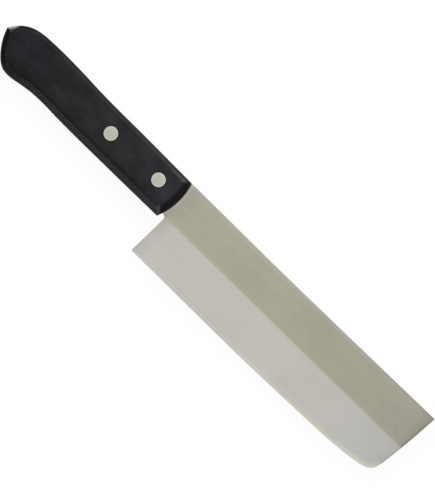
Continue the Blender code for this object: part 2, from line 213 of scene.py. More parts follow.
def eased(share: float) -> float:
    """Return a share, held between 0 and 1, that starts and ends gently."""
    share = min(max(share, 0.0), 1.0)
    return share * share * (3 - 2 * share)


def ramped(value: float, start: float, end: float) -> float:
    """Return how far a value has come from start to end, from 0 to 1, gently."""
    return eased((value - start) / (end - start))


def shifted(span: Span, base: float) -> Span:
    """Return a span moved along by a base."""
    return span[0] + base, span[1] + base


def mixed(first: Sequence[float], second: Sequence[float], share: float) -> tuple[float, ...]:
    """Return the numbers that lie a share of the way from the first ones to the second."""
    return tuple(a + (b - a) * share for a, b in zip(first, second))


def away_from(path: np.ndarray, place: Sequence[float]) -> float:
    """Measure how far a place lies from a path of straight runs.

    Args:
        path: the path's places.
        place: the place.

    Returns:
        The shortest distance.
    """
    starts, runs = path[:-1], np.diff(path, axis=0)
    to_place = np.array(place) - starts
    shares = np.clip((to_place * runs).sum(1) / (runs**2).sum(1), 0.0, 1.0)
    return float(np.linalg.norm(to_place - runs * shares[:, None], axis=1).min())


@dataclass(frozen=True)
class RimPoint:
    """One place round a handle scale: on its outline, on its flat face, and the depth of rounding between."""

    place: Place
    face: Place
    depth: float


@dataclass(frozen=True)
class HandlePlan:
    """The handle's outline and the rounding of its edges, in three sides that meet at three corners.

    A rounding is a width in the plan and a depth. The curves' rows are in millimetres: how far forward of the
    butt a place lies, and how far outside the straight line of its side.
    """

    length: float = 120.55 * MM
    width: float = 23.77 * MM
    front_crest: float = 1.36 * MM
    front_radius: float = 34.0 * MM
    crest_depth: float = 10.2 * MM
    butt_depth: float = 9.1 * MM
    corner_easing: float = 0.55 * MM
    spine_rounding: tuple[float, float] = (2.2 * MM, 2.6 * MM)
    butt_rounding: tuple[float, float] = (2.2 * MM, 2.6 * MM)
    belly_rounding: tuple[float, float] = (3.7 * MM, 4.6 * MM)
    front_rounding: tuple[float, float] = (4.6 * MM, 5.4 * MM)
    front_end_rounding: tuple[float, float] = (3.0 * MM, 4.0 * MM)
    spine_curve: tuple[Place, ...] = (
        (2.7, -5.33), (6.7, -1.86), (10.7, 0.0), (15.7, 1.03), (22.7, 1.42), (34.7, 1.47), (44.7, 1.2),
        (54.7, 0.72),
    )
    butt_rows: int = 3
    belly_curve: tuple[Place, ...] = (
        (48.7, 0.3), (38.7, 0.02), (30.7, 0.33), (23.7, 1.35), (17.7, 2.28), (13.2, 1.95), (9.7, 0.12),
        (6.2, -3.4), (2.7, -8.4),
    )
    belly_turn: Span = (13.2, 6.2)
    spine_front: Place = (30.0 * MM, 0.37 * MM)
    belly_front: Place = (36.0 * MM, 0.33 * MM)
    side_steps: tuple[int, int, int] = (28, 110, 84)

    def front_x(self, y: float) -> float:
        """Return where the round front lies at a height."""
        away = y + self.crest_depth
        return self.front_crest - self.front_radius + math.sqrt(self.front_radius**2 - away**2)

    def sides(self) -> tuple[SmoothCurve, SmoothCurve, SmoothCurve]:
        """Draw the three sides, clockwise from the spine's front corner.

        Returns:
            The front, the belly and the spine, as rows of x, y, rounding width and rounding depth.
        """
        top = (self.front_x(0.0), 0.0)
        low = (self.front_x(-self.width), -self.width)
        butt = (-self.length, -self.butt_depth)
        front = [top + self.front_end_rounding]
        for begin, end, begin_rounding, end_rounding in (
            (0.0, -self.crest_depth, self.front_end_rounding, self.front_rounding),
            (-self.crest_depth, low[1], self.front_rounding, self.front_end_rounding),
        ):
            for share in QUARTERS:
                y = begin + (end - begin) * share
                front.append((self.front_x(y), y) + mixed(begin_rounding, end_rounding, eased(share)))

        belly = [low + self.belly_rounding]
        belly.append((-self.belly_front[0], -self.width - self.belly_front[1]) + self.belly_rounding)
        for forward, drop in self.belly_curve:
            rounding = mixed(self.belly_rounding, self.butt_rounding, ramped(forward, *self.belly_turn))
            belly.append((forward * MM - self.length, -self.width - drop * MM) + rounding)
        belly.append(butt + self.butt_rounding)

        spine = [butt + self.butt_rounding]
        for i, (forward, rise) in enumerate(self.spine_curve):
            rounding = self.butt_rounding if i < self.butt_rows else self.spine_rounding
            spine.append((forward * MM - self.length, rise * MM) + rounding)
        spine.append((-self.spine_front[0], self.spine_front[1]) + self.spine_rounding)
        spine.append(top + self.spine_rounding)
        return SmoothCurve(tuple(front)), SmoothCurve(tuple(belly)), SmoothCurve(tuple(spine))

    def top_y(self, x: float) -> float:
        """Find the height of the spine, which is the handle's or, in front of it, the blade's.

        Args:
            x: the place along the knife.

        Returns:
            The height there.
        """
        if x >= 0:
            return 0.0
        places = self.sides()[2].places(PATH_STEPS)
        return float(np.interp(x, places[:, 0], places[:, 1]))

    def rim(self, margin: float = 0.0) -> list[RimPoint]:
        """Return the places round a scale, clockwise as seen from outside, with its corners eased.

        Args:
            margin: how far inside its edge the places on the flat face lie.

        Returns:
            The places.
        """
        sides = self.sides()
        corners = [crossing(before, after, margin) for before, after in zip(sides[-1:] + sides[:-1], sides)]
        rim = []
        for i, (side, steps) in enumerate(zip(sides, self.side_steps)):
            start = side.at(0.0)[:2]
            (near, _, first), (far, last, _) = corners[i], corners[(i + 1) % len(sides)]
            ahead = unit(side.at(END_REACH)[:2] - start)
            came = unit(sides[i - 1].at(1.0)[:2] - sides[i - 1].at(1 - END_REACH)[:2])
            begin, finish = start - came * self.corner_easing, start + ahead * self.corner_easing
            for share in QUARTERS[:3]:
                # A corner is a short curve from the last side to this one.
                bent = begin * (1 - share) ** 2 + start * 2 * share * (1 - share) + finish * share**2
                rim.append(RimPoint(tuple(bent), tuple(near), float(side.at(0.0)[3])))
            ease = self.corner_easing / side.length()
            for step in range(steps + 1):
                share = step / steps
                outer = side.at(ease + (1 - 2 * ease) * share)
                # The flat face is shorter than the outline, so it starts and ends further along each side.
                face = side.inset(first + (last - first) * share, margin)
                if step in (0, steps):
                    face = near if step == 0 else far
                rim.append(RimPoint(tuple(outer[:2]), tuple(face), float(outer[3])))
        return rim


@dataclass(frozen=True)
class BladePlan:
    """The blade's lines and its thickness.

    The edge curve's rows are in millimetres: how far a place lies inside the line of the square end, and how
    far it has risen from the cutting edge. The heel's corner is cut by shares of the honed bevel's width.
    """

    length: float = 166.8 * MM
    height: float = 44.95 * MM
    heel_setback: float = 2.05 * MM
    heel_rake: float = 0.6 * MM
    heel_power: float = 1.5
    heel_corner: tuple[float, float] = (0.6, 0.4)
    stock: float = 2.0 * MM
    tip_stock: float = 1.5 * MM
    spine_bow: float = 1.38 * MM
    bow_start: float = 55.0 * MM
    bow_power: float = 1.25
    tip_lean: float = 5.0 * MM
    tip_curved: float = 0.5
    tip_corner: float = 0.9 * MM
    grind_depth: float = 21.35 * MM
    grind_rise: float = 0.7 * MM
    edge_thickness: float = 0.5 * MM
    honed_width: float = 0.7 * MM
    edge_land: float = 0.05 * MM
    neck_depth: float = 20.95 * MM
    neck_fillet: float = 1.9 * MM
    tang_length: float = 66.0 * MM
    tang_end_width: float = 17.5 * MM
    tang_corner: tuple[Place, ...] = (
        (3.0 * MM, 0.0), (1.5 * MM, 0.4 * MM), (0.5 * MM, 1.3 * MM), (0.0, 3.0 * MM),
    )
    fade_rise: float = 4.5 * MM
    edge_curve: tuple[Place, ...] = (
        (104.0, 0.0), (71.0, 0.4), (44.0, 1.1), (23.2, 2.0), (11.4, 3.25), (5.3, 4.45), (2.35, 5.85),
        (0.72, 8.0), (0.22, 10.6), (0.0, 13.8),
    )
    columns: int = 84
    straight_columns: int = 20
    crowding: float = 1.7

    @property
    def tip(self) -> float:
        """Return where the spine meets the square end."""
        return self.heel_setback + self.length

    @property
    def neck_low(self) -> float:
        """Return the height at which the heel line starts, below the neck's fillet."""
        return -self.neck_depth - self.neck_fillet

    def spine_y(self, x: float) -> float:
        """Return the spine's height at a place along the blade."""
        run = max(0.0, x - self.bow_start) / (self.tip - self.bow_start)
        return self.spine_bow * run**self.bow_power

    def end_x(self, y: float) -> float:
        """Return where the square end lies at a height."""
        down = (self.spine_y(self.tip) - y) / (self.height + self.spine_bow)
        return self.tip - self.tip_lean * ((1 - self.tip_curved) * down + self.tip_curved * down**2)

    def heel_x(self, y: float) -> float:
        """Return where the heel line lies at a height."""
        down = max(0.0, (self.neck_low - y) / (self.height + self.neck_low))
        return self.heel_setback - self.heel_rake * down**self.heel_power

    def grind_y(self, x: float) -> float:
        """Return the height of the line where the wide bevel starts."""
        return -self.grind_depth + self.grind_rise * x / self.tip

    def half(self, x: float, y: float) -> float:
        """Return half the thickness: tapered to the tip, and thinned by the wide bevel.

        Args:
            x: distance forward of the handle's front.
            y: height above the handle's spine corner.

        Returns:
            Half the blade's thickness there.
        """
        run = max(0.0, x - self.heel_setback) / self.length
        flat = (self.stock + (self.tip_stock - self.stock) * run) / 2
        start = self.grind_y(x)
        down = min(max((start - y) / (start + self.height), 0.0), 1.0)
        return flat + (self.edge_thickness / 2 - flat) * down

    def edge(self) -> list[Place]:
        """Draw the cutting edge, with places that crowd towards the tip.

        Returns:
            The edge's places, from the heel's corner to where it fades out on the square end.
        """
        forward, up = (share * self.honed_width for share in self.heel_corner)
        corner = (self.heel_x(-self.height), -self.height + up)
        straight = (corner[0] + forward, -self.height)
        belly = []
        for inset, rise in self.edge_curve:
            y = rise * MM - self.height
            belly.append((self.end_x(y) - inset * MM, y))
        curve = SmoothCurve(tuple(belly))
        steps = self.straight_columns
        middle = [mixed(straight, belly[0], i / steps) for i in range(1, steps)]
        count = self.columns - len(middle) - 2
        crowded = [1 - (1 - i / (count - 1)) ** self.crowding for i in range(count)]
        return [corner, straight, *middle, *[tuple(curve.at(share)) for share in crowded]]

    def honed(self, edge: list[Place]) -> tuple[list[Place], list[float]]:
        """Return the inner line of the small bevel, and how far it has faded at each place of the edge.

        Args:
            edge: the cutting edge's places.

        Returns:
            The inner line's places, and the fades from 0 to 1.
        """
        places, fades = [], []
        fade_from = self.fade_rise - self.height
        for i, (x, y) in enumerate(edge):
            before, after = edge[max(i - 1, 0)], edge[min(i + 1, len(edge) - 1)]
            run, rise = after[0] - before[0], after[1] - before[1]
            length = math.hypot(run, rise)
            fade = eased((y - fade_from) / (edge[-1][1] - fade_from))
            width = self.honed_width * (1 - fade)
            inner = (self.heel_x(y + width), y + width)
            if i > 0:
                inner = (x - width * rise / length, y + width * run / length)
            places.append(inner)
            fades.append(fade)
        return places, fades


# Bench

# Corners closer than this are one corner, and a place this close to a line lies on it.
MERGE_REACH = 0.002 * MM
SAME_HEIGHT = 1e-7
ON_LINE = 1e-6
NO_AREA = 1e-16
# How much of a face's normal points up on a level face, and at least on one that lies rather than stands.
LEVEL = 0.99
UPWARD = 0.5


class Bench:
    """A workbench that holds one piece in edit mode and shapes what is picked on it."""

    def __init__(self, name: str) -> None:
        """Take the active piece and open it with nothing picked.

        Args:
            name: what the piece is called from now on.
        """
        self.piece = bpy.context.active_object
        self.piece.name = name
        self.piece.data.name = name
        self.open()

    @classmethod
    def start(cls, name: str, add: Callable[..., set[str]], **sizes: Any) -> "Bench":
        """Add a primitive as a new piece and open it.

        Args:
            name: the piece's name.
            add: the operator that adds the primitive.
            **sizes: what the operator is given.

        Returns:
            The bench with the open piece.
        """
        bpy.ops.object.select_all(action="DESELECT")
        add(**sizes)
        return cls(name)

    @classmethod
    def prism(cls, name: str, outline: Sequence[Place], low: float, high: float) -> "Bench":
        """Draw an outline and pull it up to a prism, whose top is left picked.

        Args:
            name: the piece's name.
            outline: the places round it, anticlockwise.
            low: the height of its foot.
            high: the height of its top.

        Returns:
            The bench with the open prism.
        """
        add = bpy.ops.mesh.primitive_circle_add
        bench = cls.start(name, add, vertices=len(outline), radius=20 * MM, fill_type="NGON")
        bench.settle({i: (*place, low) for i, place in enumerate(outline)})
        bpy.ops.mesh.select_all(action="SELECT")
        bench.extrude((0.0, 0.0, high - low))
        return bench

    def mirrored(self, name: str) -> "Bench":
        """Copy the closed piece to the other side of the blade.

        Args:
            name: the copy's name.

        Returns:
            The bench with the closed copy.
        """
        self._take()
        bpy.ops.object.duplicate()
        bpy.ops.transform.mirror(constraint_axis=(False, False, True), center_override=(0.0, 0.0, 0.0))
        self.fix_place()
        copy = Bench(name)
        copy.face_out()
        copy.close()
        return copy

    def _take(self) -> None:
        """Select the closed piece and nothing else."""
        bpy.ops.object.select_all(action="DESELECT")
        self.piece.select_set(True)
        bpy.context.view_layer.objects.active = self.piece

    def open(self) -> None:
        """Enter edit mode with nothing picked."""
        bpy.ops.object.mode_set(mode="EDIT")
        self.pick_nothing()

    def close(self) -> None:
        """Leave edit mode."""
        bpy.ops.object.mode_set(mode="OBJECT")

    def fix_place(self) -> None:
        """Leave the closed piece's place in its mesh."""
        bpy.ops.object.transform_apply(location=True, rotation=True, scale=True)

    def shape(self) -> bmesh.types.BMesh:
        """Read the open piece.

        Returns:
            Its mesh, with its tables up to date.
        """
        shape = bmesh.from_edit_mesh(self.piece.data)
        for table in (shape.verts, shape.edges, shape.faces):
            table.ensure_lookup_table()
        return shape

    def pick_nothing(self, kind: Pick = Pick.CORNERS) -> None:
        """Say what is picked from now on, and pick none of it."""
        bpy.ops.mesh.select_mode(type=kind.value)
        bpy.ops.mesh.select_all(action="DESELECT")

    def pick(self, kind: Pick, test: Callable[[Any], bool]) -> int:
        """Pick the corners, edges or faces that pass a test, and nothing else.

        Args:
            kind: what is picked.
            test: says whether an element is picked.

        Returns:
            How many were picked.
        """
        self.pick_nothing(kind)
        shape = self.shape()
        table = {Pick.CORNERS: shape.verts, Pick.EDGES: shape.edges, Pick.FACES: shape.faces}[kind]
        found = [element for element in table if test(element)]
        for element in found:
            element.select_set(True)
        bmesh.update_edit_mesh(self.piece.data)
        return len(found)

    def pick_cap(self, sign: int) -> None:
        """Pick the level faces of many corners that look up, or down for a sign of -1."""
        self.pick(Pick.FACES, lambda face: face.normal.z * sign > LEVEL and len(face.verts) > 4)

    def pick_between(self, members: Iterable[int]) -> None:
        """Pick the edges that run between corners of these numbers."""
        among = set(members)
        self.pick(Pick.EDGES, lambda edge: all(corner.index in among for corner in edge.verts))

    def picked_over(self, places: Sequence[Place]) -> list[int]:
        """Return the picked corners' numbers in the order of the places that they stand over.

        Args:
            places: one place for each picked corner.

        Returns:
            The numbers of the corners.
        """
        corners = [corner for corner in self.shape().verts if corner.select]
        spots = np.array([corner.co[:2] for corner in corners])
        return [corners[int(np.linalg.norm(spots - place, axis=1).argmin())].index for place in places]

    def move(self, step: Sequence[float]) -> None:
        """Move what is picked."""
        bpy.ops.transform.translate(value=step)

    def stretch(self, factors: Sequence[float], about: Sequence[float]) -> None:
        """Scale what is picked about a point."""
        bpy.ops.transform.resize(value=factors, center_override=about)

    def extrude(self, step: Sequence[float] = (0.0, 0.0, 0.0)) -> None:
        """Extrude what is picked and move it."""
        bpy.ops.mesh.extrude_region_move(TRANSFORM_OT_translate={"value": step})

    def settle(self, places: Mapping[int, Sequence[float]]) -> None:
        """Move corners one at a time to their places.

        Args:
            places: where each corner goes, by its number.
        """
        self.pick_nothing()
        shape = self.shape()
        for number, place in places.items():
            corner = shape.verts[number]
            corner.select_set(True)
            self.move(Vector(place) - corner.co)
            corner.select_set(False)

    def give_zone(self, zone: Zone) -> None:
        """Give the picked faces a zone's material slot."""
        self.piece.active_material_index = zone.value
        bpy.ops.object.material_slot_assign()

    def merge(self) -> None:
        """Merge corners that lie on each other."""
        bpy.ops.mesh.select_all(action="SELECT")
        bpy.ops.mesh.remove_doubles(threshold=MERGE_REACH)

    def face_out(self) -> None:
        """Turn every face to point outwards."""
        bpy.ops.mesh.select_all(action="SELECT")
        bpy.ops.mesh.normals_make_consistent(inside=False)

    def apply(self, name: str, kind: str, **settings: Any) -> None:
        """Add a modifier to the closed piece and apply it.

        Args:
            name: the modifier's name.
            kind: its type.
            **settings: its properties.
        """
        bpy.context.view_layer.objects.active = self.piece
        modifier = self.piece.modifiers.new(name, kind)
        for key, value in settings.items():
            setattr(modifier, key, value)
        bpy.ops.object.modifier_apply(modifier=modifier.name)

    def drill(self, cutters: Iterable[Piece]) -> None:
        """Cut holes with other pieces, which stay."""
        for cutter in cutters:
            self.apply("drill", "BOOLEAN", operation="DIFFERENCE", solver="EXACT", object=cutter)

    def finish(self, datum: Vector, crease: float = 32.0) -> Piece:
        """Shade the closed piece, carry it to the datum and leave its place in its mesh.

        Args:
            datum: the point that the piece was drawn about.
            crease: angle in degrees past which an edge is sharp.

        Returns:
            The finished piece.
        """
        self._take()
        bpy.ops.object.shade_smooth_by_angle(angle=math.radians(crease), keep_sharp_edges=True)
        self.apply("weighted", "WEIGHTED_NORMAL", keep_sharp=True)
        self.piece.location = self.piece.location + datum
        self.fix_place()
        return self.piece


# Shaders

NODE_STEP = 180
# Noise seldom leaves the middle of its range, so that part is drawn out.
NOISE_SPAN = (0.3, 0.7)
CLOUD_SPAN = (0.25, 0.75)
# Length and pitch of the fine brushed lines and of the coarse ones, and how slowly they change with depth.
BRUSH_LEVELS = ((1.0, 1.0), (2.3, 3.1))
BRUSH_DEPTH = 0.05
SCRATCH_EDGE = 0.04
PLY_STRETCH = (0.035, 0.11, 0.08)
PLY_SWING = 5.0
PLY_SPAN = (-0.9, 0.9)
FIBRE_RUN = 0.12
# How deep fine marks are, and how much deeper a stray scratch is on steel and on wood.
RELIEF = 0.02 * MM
STEEL_SCRATCH = -1.5
WOOD_SCRATCH = -1.0


class Desk:
    """A node tree and the nodes that are laid out in it."""

    def __init__(self, tree: Tree) -> None:
        """Clear the tree and start it afresh."""
        self.tree = tree
        tree.nodes.clear()

    def add(self, kind: str, settings: Mapping[str, Any] | None = None, **inputs: Any) -> Node:
        """Add a node, set it and fill its inputs with values or with other nodes' outputs.

        Args:
            kind: the node's type.
            settings: properties of the node itself.
            **inputs: sockets by name, with an underscore for a space, or in_0, in_1 by number.

        Returns:
            The node.
        """
        node = self.tree.nodes.new(kind)
        node.location = (NODE_STEP * len(self.tree.nodes), 0)
        for key, value in (settings or {}).items():
            setattr(node, key, value)
        for key, value in inputs.items():
            socket = node.inputs[int(key[3:]) if key.startswith("in_") else key.replace("_", " ")]
            if isinstance(value, Socket):
                self.tree.links.new(value, socket)
            else:
                socket.default_value = value
        return node

    def link(self, output: Socket, node: Node, name: str) -> None:
        """Join an output to a node's input."""
        self.tree.links.new(output, node.inputs[name])

    def maths(self, operation: str, *values: Any) -> Socket:
        """Return the result of a maths node on values or sockets."""
        inputs = {f"in_{i}": value for i, value in enumerate(values)}
        return self.add("ShaderNodeMath", {"operation": operation}, **inputs).outputs[0]

    def product(self, *values: Any) -> Socket:
        """Return the product of two or more values or sockets."""
        return reduce(lambda first, second: self.maths("MULTIPLY", first, second), values)

    def ramp(self, value: Any, start: float, end: float, low: float = 0.0, high: float = 1.0) -> Socket:
        """Return a value that goes gently from low to high as another goes from start to end."""
        inputs = {"in_0": value, "in_1": start, "in_2": end, "in_3": low, "in_4": high}
        return self.add("ShaderNodeMapRange", {"interpolation_type": "SMOOTHSTEP"}, **inputs).outputs[0]

    def fade(self, value: Any, start: float, end: float, low: float = 0.0) -> Socket:
        """Return a value that goes gently from 1 down to low as another goes from start to end."""
        return self.ramp(value, start, end, 1.0, low)

    def spread(self, share: Any, low: float, high: float) -> Socket:
        """Return a value that goes gently from low to high with a share."""
        return self.ramp(share, 0.0, 1.0, low, high)

    def swing(self, share: Any, middle: float, reach: float) -> Socket:
        """Return a value that swings with a share to both sides of a middle."""
        return self.spread(share, middle - reach, middle + reach)

    def blend(self, share: Any, first: Any, second: Any, mode: str = "MIX") -> Socket:
        """Mix two colours.

        Args:
            share: how much of the second one there is.
            first: the colour below.
            second: the colour on top.
            mode: how they are mixed.

        Returns:
            The mix.
        """
        node = self.add("ShaderNodeMix", {"data_type": "RGBA", "blend_type": mode}, in_0=share)
        for socket, value in ((node.inputs[6], first), (node.inputs[7], second)):
            if isinstance(value, Socket):
                self.tree.links.new(value, socket)
            else:
                socket.default_value = (*value, 1.0)
        return node.outputs[2]

    def tint(self, share: Any, colour: Any, factors: Colour) -> Socket:
        """Return a colour whose parts are multiplied by factors, as far as a share says."""
        return self.blend(share, colour, factors, "MULTIPLY")

    def toned(self, colour: Any, tone: Socket) -> Socket:
        """Return a colour made lighter or darker by a tone."""
        grey = self.add("ShaderNodeCombineColor", in_0=tone, in_1=tone, in_2=tone).outputs[0]
        return self.blend(1.0, colour, grey, "MULTIPLY")

    def relief(self, height: Any, strength: float) -> Socket:
        """Return the normals of a surface with fine marks."""
        return self.add("ShaderNodeBump", Strength=strength, Distance=RELIEF, Height=height).outputs[0]

    def attribute(self, name: str) -> Socket:
        """Return the value of one of the piece's attributes."""
        return self.add("ShaderNodeAttribute", {"attribute_name": name}).outputs["Fac"]

    def place(self) -> Socket:
        """Return the Object coordinates in millimetres."""
        coordinates = self.add("ShaderNodeTexCoord").outputs["Object"]
        return self.add("ShaderNodeMapping", Vector=coordinates, Scale=(1 / MM,) * 3).outputs[0]

    def split(self, vector: Any) -> Sequence[Socket]:
        """Return a vector's three parts."""
        return self.add("ShaderNodeSeparateXYZ", Vector=vector).outputs

    def turned(self, vector: Any, degrees: float) -> Socket:
        """Return a vector turned about the way through the knife's thickness."""
        turn = (0.0, 0.0, math.radians(degrees))
        return self.add("ShaderNodeMapping", Vector=vector, Rotation=turn).outputs[0]

    def effect(self, effect: "Effect", **inputs: Any) -> Node:
        """Place a shared effect with its own values.

        Args:
            effect: the effect.
            **inputs: the values of its group's inputs.

        Returns:
            The group's node.
        """
        node = self.add("ShaderNodeGroup", {"node_tree": effect.group()}, **inputs)
        node.label = effect.value
        return node

    def halo(self, vector: Any, centre: Place, radius: float, reach: float) -> Socket:
        """Return a mask that is 1 within a radius of a centre and fades over a reach beyond it."""
        x, y = centre
        return self.effect(Effect.HALO, Vector=vector, X=x, Y=y, Radius=radius, Reach=reach).outputs[0]


class Effect(Enum):
    """The effects that more than one finish uses, each one a node group."""

    BRUSH = "brush_lines"
    CLOUDS = "soft_clouds"
    SCRATCHES = "stray_scratches"
    PLIES = "laminated_plies"
    HALO = "round_halo"

    def group(self) -> Tree:
        """Find the effect's node group, or build it the first time.

        Returns:
            The group.
        """
        made = bpy.data.node_groups.get(self.value)
        if made is None:
            made = bpy.data.node_groups.new(self.value, "ShaderNodeTree")
            EFFECT_MAKERS[self](made)
        return made


def group_ends(tree: Tree, inputs: Mapping[str, Any], outputs: Sequence[str]) -> tuple[Desk, Node, Node]:
    """Give a group its sockets and lay out its two ends.

    Args:
        tree: the group.
        inputs: the inputs by name, with a number for a value and None for a vector.
        outputs: the names of the outputs, which are all values.

    Returns:
        The desk, the group's input node and its output node.
    """
    desk = Desk(tree)
    for name, value in inputs.items():
        kind = "NodeSocketVector" if value is None else "NodeSocketFloat"
        socket = tree.interface.new_socket(name=name, in_out="INPUT", socket_type=kind)
        if value is not None:
            socket.default_value = value
    for name in outputs:
        tree.interface.new_socket(name=name, in_out="OUTPUT", socket_type="NodeSocketFloat")
    return desk, desk.add("NodeGroupInput"), desk.add("NodeGroupOutput")


def make_brush(tree: Tree) -> None:
    """Draw fine lines that run with the first axis, broken up along their length.

    Args:
        tree: the effect's group.
    """
    inputs = {"Vector": None, "Length": 30.0, "Pitch": 0.12, "Seed": 0.0}
    desk, given, out = group_ends(tree, inputs, ["Lines"])
    x, y, z = desk.split(given.outputs["Vector"])
    levels = []
    for length_factor, pitch_factor in BRUSH_LEVELS:
        along = desk.maths("DIVIDE", x, desk.product(given.outputs["Length"], length_factor))
        across = desk.maths("DIVIDE", y, desk.product(given.outputs["Pitch"], pitch_factor))
        deep = desk.maths("ADD", desk.product(z, BRUSH_DEPTH), given.outputs["Seed"])
        vector = desk.add("ShaderNodeCombineXYZ", X=along, Y=across, Z=deep)
        noise = desk.add("ShaderNodeTexNoise", Vector=vector.outputs[0], Scale=1.0, Detail=2.0, Roughness=0.6)
        levels.append(noise.outputs[0])
    mean = desk.product(desk.maths("ADD", *levels), 0.5)
    desk.link(desk.ramp(mean, *NOISE_SPAN), out, "Lines")


def make_clouds(tree: Tree) -> None:
    """Draw large soft variation of tone.

    Args:
        tree: the effect's group.
    """
    inputs = {"Vector": None, "Size": 25.0, "Seed": 0.0, "Detail": 2.0}
    desk, given, out = group_ends(tree, inputs, ["Clouds"])
    shrunk = desk.add("ShaderNodeVectorMath", {"operation": "SCALE"}, Vector=given.outputs["Vector"])
    desk.link(desk.maths("DIVIDE", 1.0, given.outputs["Size"]), shrunk, "Scale")
    noise = desk.add(
        "ShaderNodeTexNoise", {"noise_dimensions": "4D"}, Vector=shrunk.outputs[0], W=given.outputs["Seed"],
        Scale=1.0, Detail=given.outputs["Detail"], Roughness=0.5,
    )
    desk.link(desk.ramp(noise.outputs[0], *CLOUD_SPAN), out, "Clouds")


def make_scratches(tree: Tree) -> None:
    """Draw a few hair-thin scratches at an angle of their own.

    Args:
        tree: the effect's group.
    """
    inputs = {"Vector": None, "Length": 9.0, "Pitch": 0.5, "Angle": 0.3, "Rarity": 0.7}
    desk, given, out = group_ends(tree, inputs, ["Scratches"])
    rarity = given.outputs["Rarity"]
    turned = desk.add(
        "ShaderNodeVectorRotate", {"rotation_type": "Z_AXIS"}, Vector=given.outputs["Vector"],
        Angle=given.outputs["Angle"],
    )
    x, y, z = desk.split(turned.outputs[0])
    along = desk.maths("DIVIDE", x, given.outputs["Length"])
    across = desk.maths("DIVIDE", y, given.outputs["Pitch"])
    vector = desk.add("ShaderNodeCombineXYZ", X=along, Y=across, Z=z)
    noise = desk.add("ShaderNodeTexNoise", Vector=vector.outputs[0], Scale=1.0, Detail=1.0)
    finish = desk.maths("ADD", rarity, SCRATCH_EDGE)
    desk.link(desk.ramp(noise.outputs[0], rarity, finish), out, "Scratches")


def make_plies(tree: Tree) -> None:
    """Draw thin warped plies pressed in the knife's thickness, with fibres along its length.

    Args:
        tree: the effect's group.
    """
    inputs = {"Vector": None, "Ply": 0.9, "Warp": 0.9, "Fibre": 0.16}
    desk, given, out = group_ends(tree, inputs, ["Plies", "Fibres"])
    x, y, z = desk.split(given.outputs["Vector"])
    stretch = desk.add("ShaderNodeVectorMath", {"operation": "MULTIPLY"}, Vector=given.outputs["Vector"])
    stretch.inputs[1].default_value = PLY_STRETCH
    warp = desk.add("ShaderNodeTexNoise", Vector=stretch.outputs[0], Scale=1.0, Detail=3.0, Roughness=0.55)
    swing = desk.product(desk.maths("SUBTRACT", warp.outputs[0], 0.5), given.outputs["Warp"])
    depth = desk.maths("ADD", z, desk.product(swing, PLY_SWING))
    layer = desk.maths("DIVIDE", depth, given.outputs["Ply"])
    wave = desk.maths("SINE", desk.product(layer, 2 * math.pi))
    desk.link(desk.ramp(wave, *PLY_SPAN), out, "Plies")
    fine = desk.add("ShaderNodeCombineXYZ", X=desk.product(x, FIBRE_RUN))
    for part, name in ((y, "Y"), (z, "Z")):
        desk.link(desk.maths("DIVIDE", part, given.outputs["Fibre"]), fine, name)
    fibres = desk.add("ShaderNodeTexNoise", Vector=fine.outputs[0], Scale=1.0, Detail=3.0, Roughness=0.65)
    desk.link(desk.ramp(fibres.outputs[0], *NOISE_SPAN), out, "Fibres")


def make_halo(tree: Tree) -> None:
    """Draw a mask that is 1 beside a round hole and fades within a reach of its rim.

    Args:
        tree: the effect's group.
    """
    inputs = {"Vector": None, "X": 0.0, "Y": 0.0, "Radius": 3.9, "Reach": 0.6}
    desk, given, out = group_ends(tree, inputs, ["Halo"])
    x, y, _ = desk.split(given.outputs["Vector"])
    run, rise = desk.maths("SUBTRACT", x, given.outputs["X"]), desk.maths("SUBTRACT", y, given.outputs["Y"])
    square = desk.maths("ADD", desk.product(run, run), desk.product(rise, rise))
    away = desk.maths("SUBTRACT", desk.maths("SQRT", square), given.outputs["Radius"])
    share = desk.maths("DIVIDE", away, given.outputs["Reach"])
    desk.link(desk.fade(share, 0.0, 1.0), out, "Halo")


EFFECT_MAKERS: dict[Effect, Callable[[Tree], None]] = {
    Effect.BRUSH: make_brush,
    Effect.CLOUDS: make_clouds,
    Effect.SCRATCHES: make_scratches,
    Effect.PLIES: make_plies,
    Effect.HALO: make_halo,
}


def new_material(name: str) -> tuple[Material, Desk]:
    """Start a material.

    Args:
        name: the material's name.

    Returns:
        The material, and the desk with its empty node tree.
    """
    material = bpy.data.materials.new(name)
    material.use_nodes = True
    return material, Desk(material.node_tree)


def surface(desk: Desk, roughness: Any, metallic: float, **inputs: Any) -> Node:
    """Add the Principled shader and the material's output.

    Args:
        desk: the material's desk.
        roughness: a value or socket.
        metallic: 1 for metal.
        **inputs: the shader's other sockets.

    Returns:
        The shader.
    """
    shader = desk.add("ShaderNodeBsdfPrincipled", Roughness=roughness, Metallic=metallic, **inputs)
    desk.add("ShaderNodeOutputMaterial", Surface=shader.outputs[0])
    return shader


class Measure(Enum):
    """What the blade's finish is laid out by: painted distances, and places along and across the blade."""

    ABOVE_GRIND = "above_grind"
    FROM_EDGE = "from_edge"
    BELOW_SPINE = "below_spine"
    FROM_END = "from_end"
    FROM_TIP = "along_from_tip"
    FORWARD = "forward_of_handle"
    UP = "up_from_edge"


@dataclass(frozen=True)
class Band:
    """A share that goes gently from low to high between two values of a measure, in millimetres."""

    measure: Measure
    start: float
    end: float
    low: float
    high: float


def rising(measure: Measure, start: float, end: float, low: float = 0.0) -> Band:
    """Return a band that comes in from low to 1."""
    return Band(measure, start, end, low, 1.0)


def falling(measure: Measure, start: float, end: float, low: float = 0.0) -> Band:
    """Return a band that fades from 1 to low."""
    return Band(measure, start, end, 1.0, low)


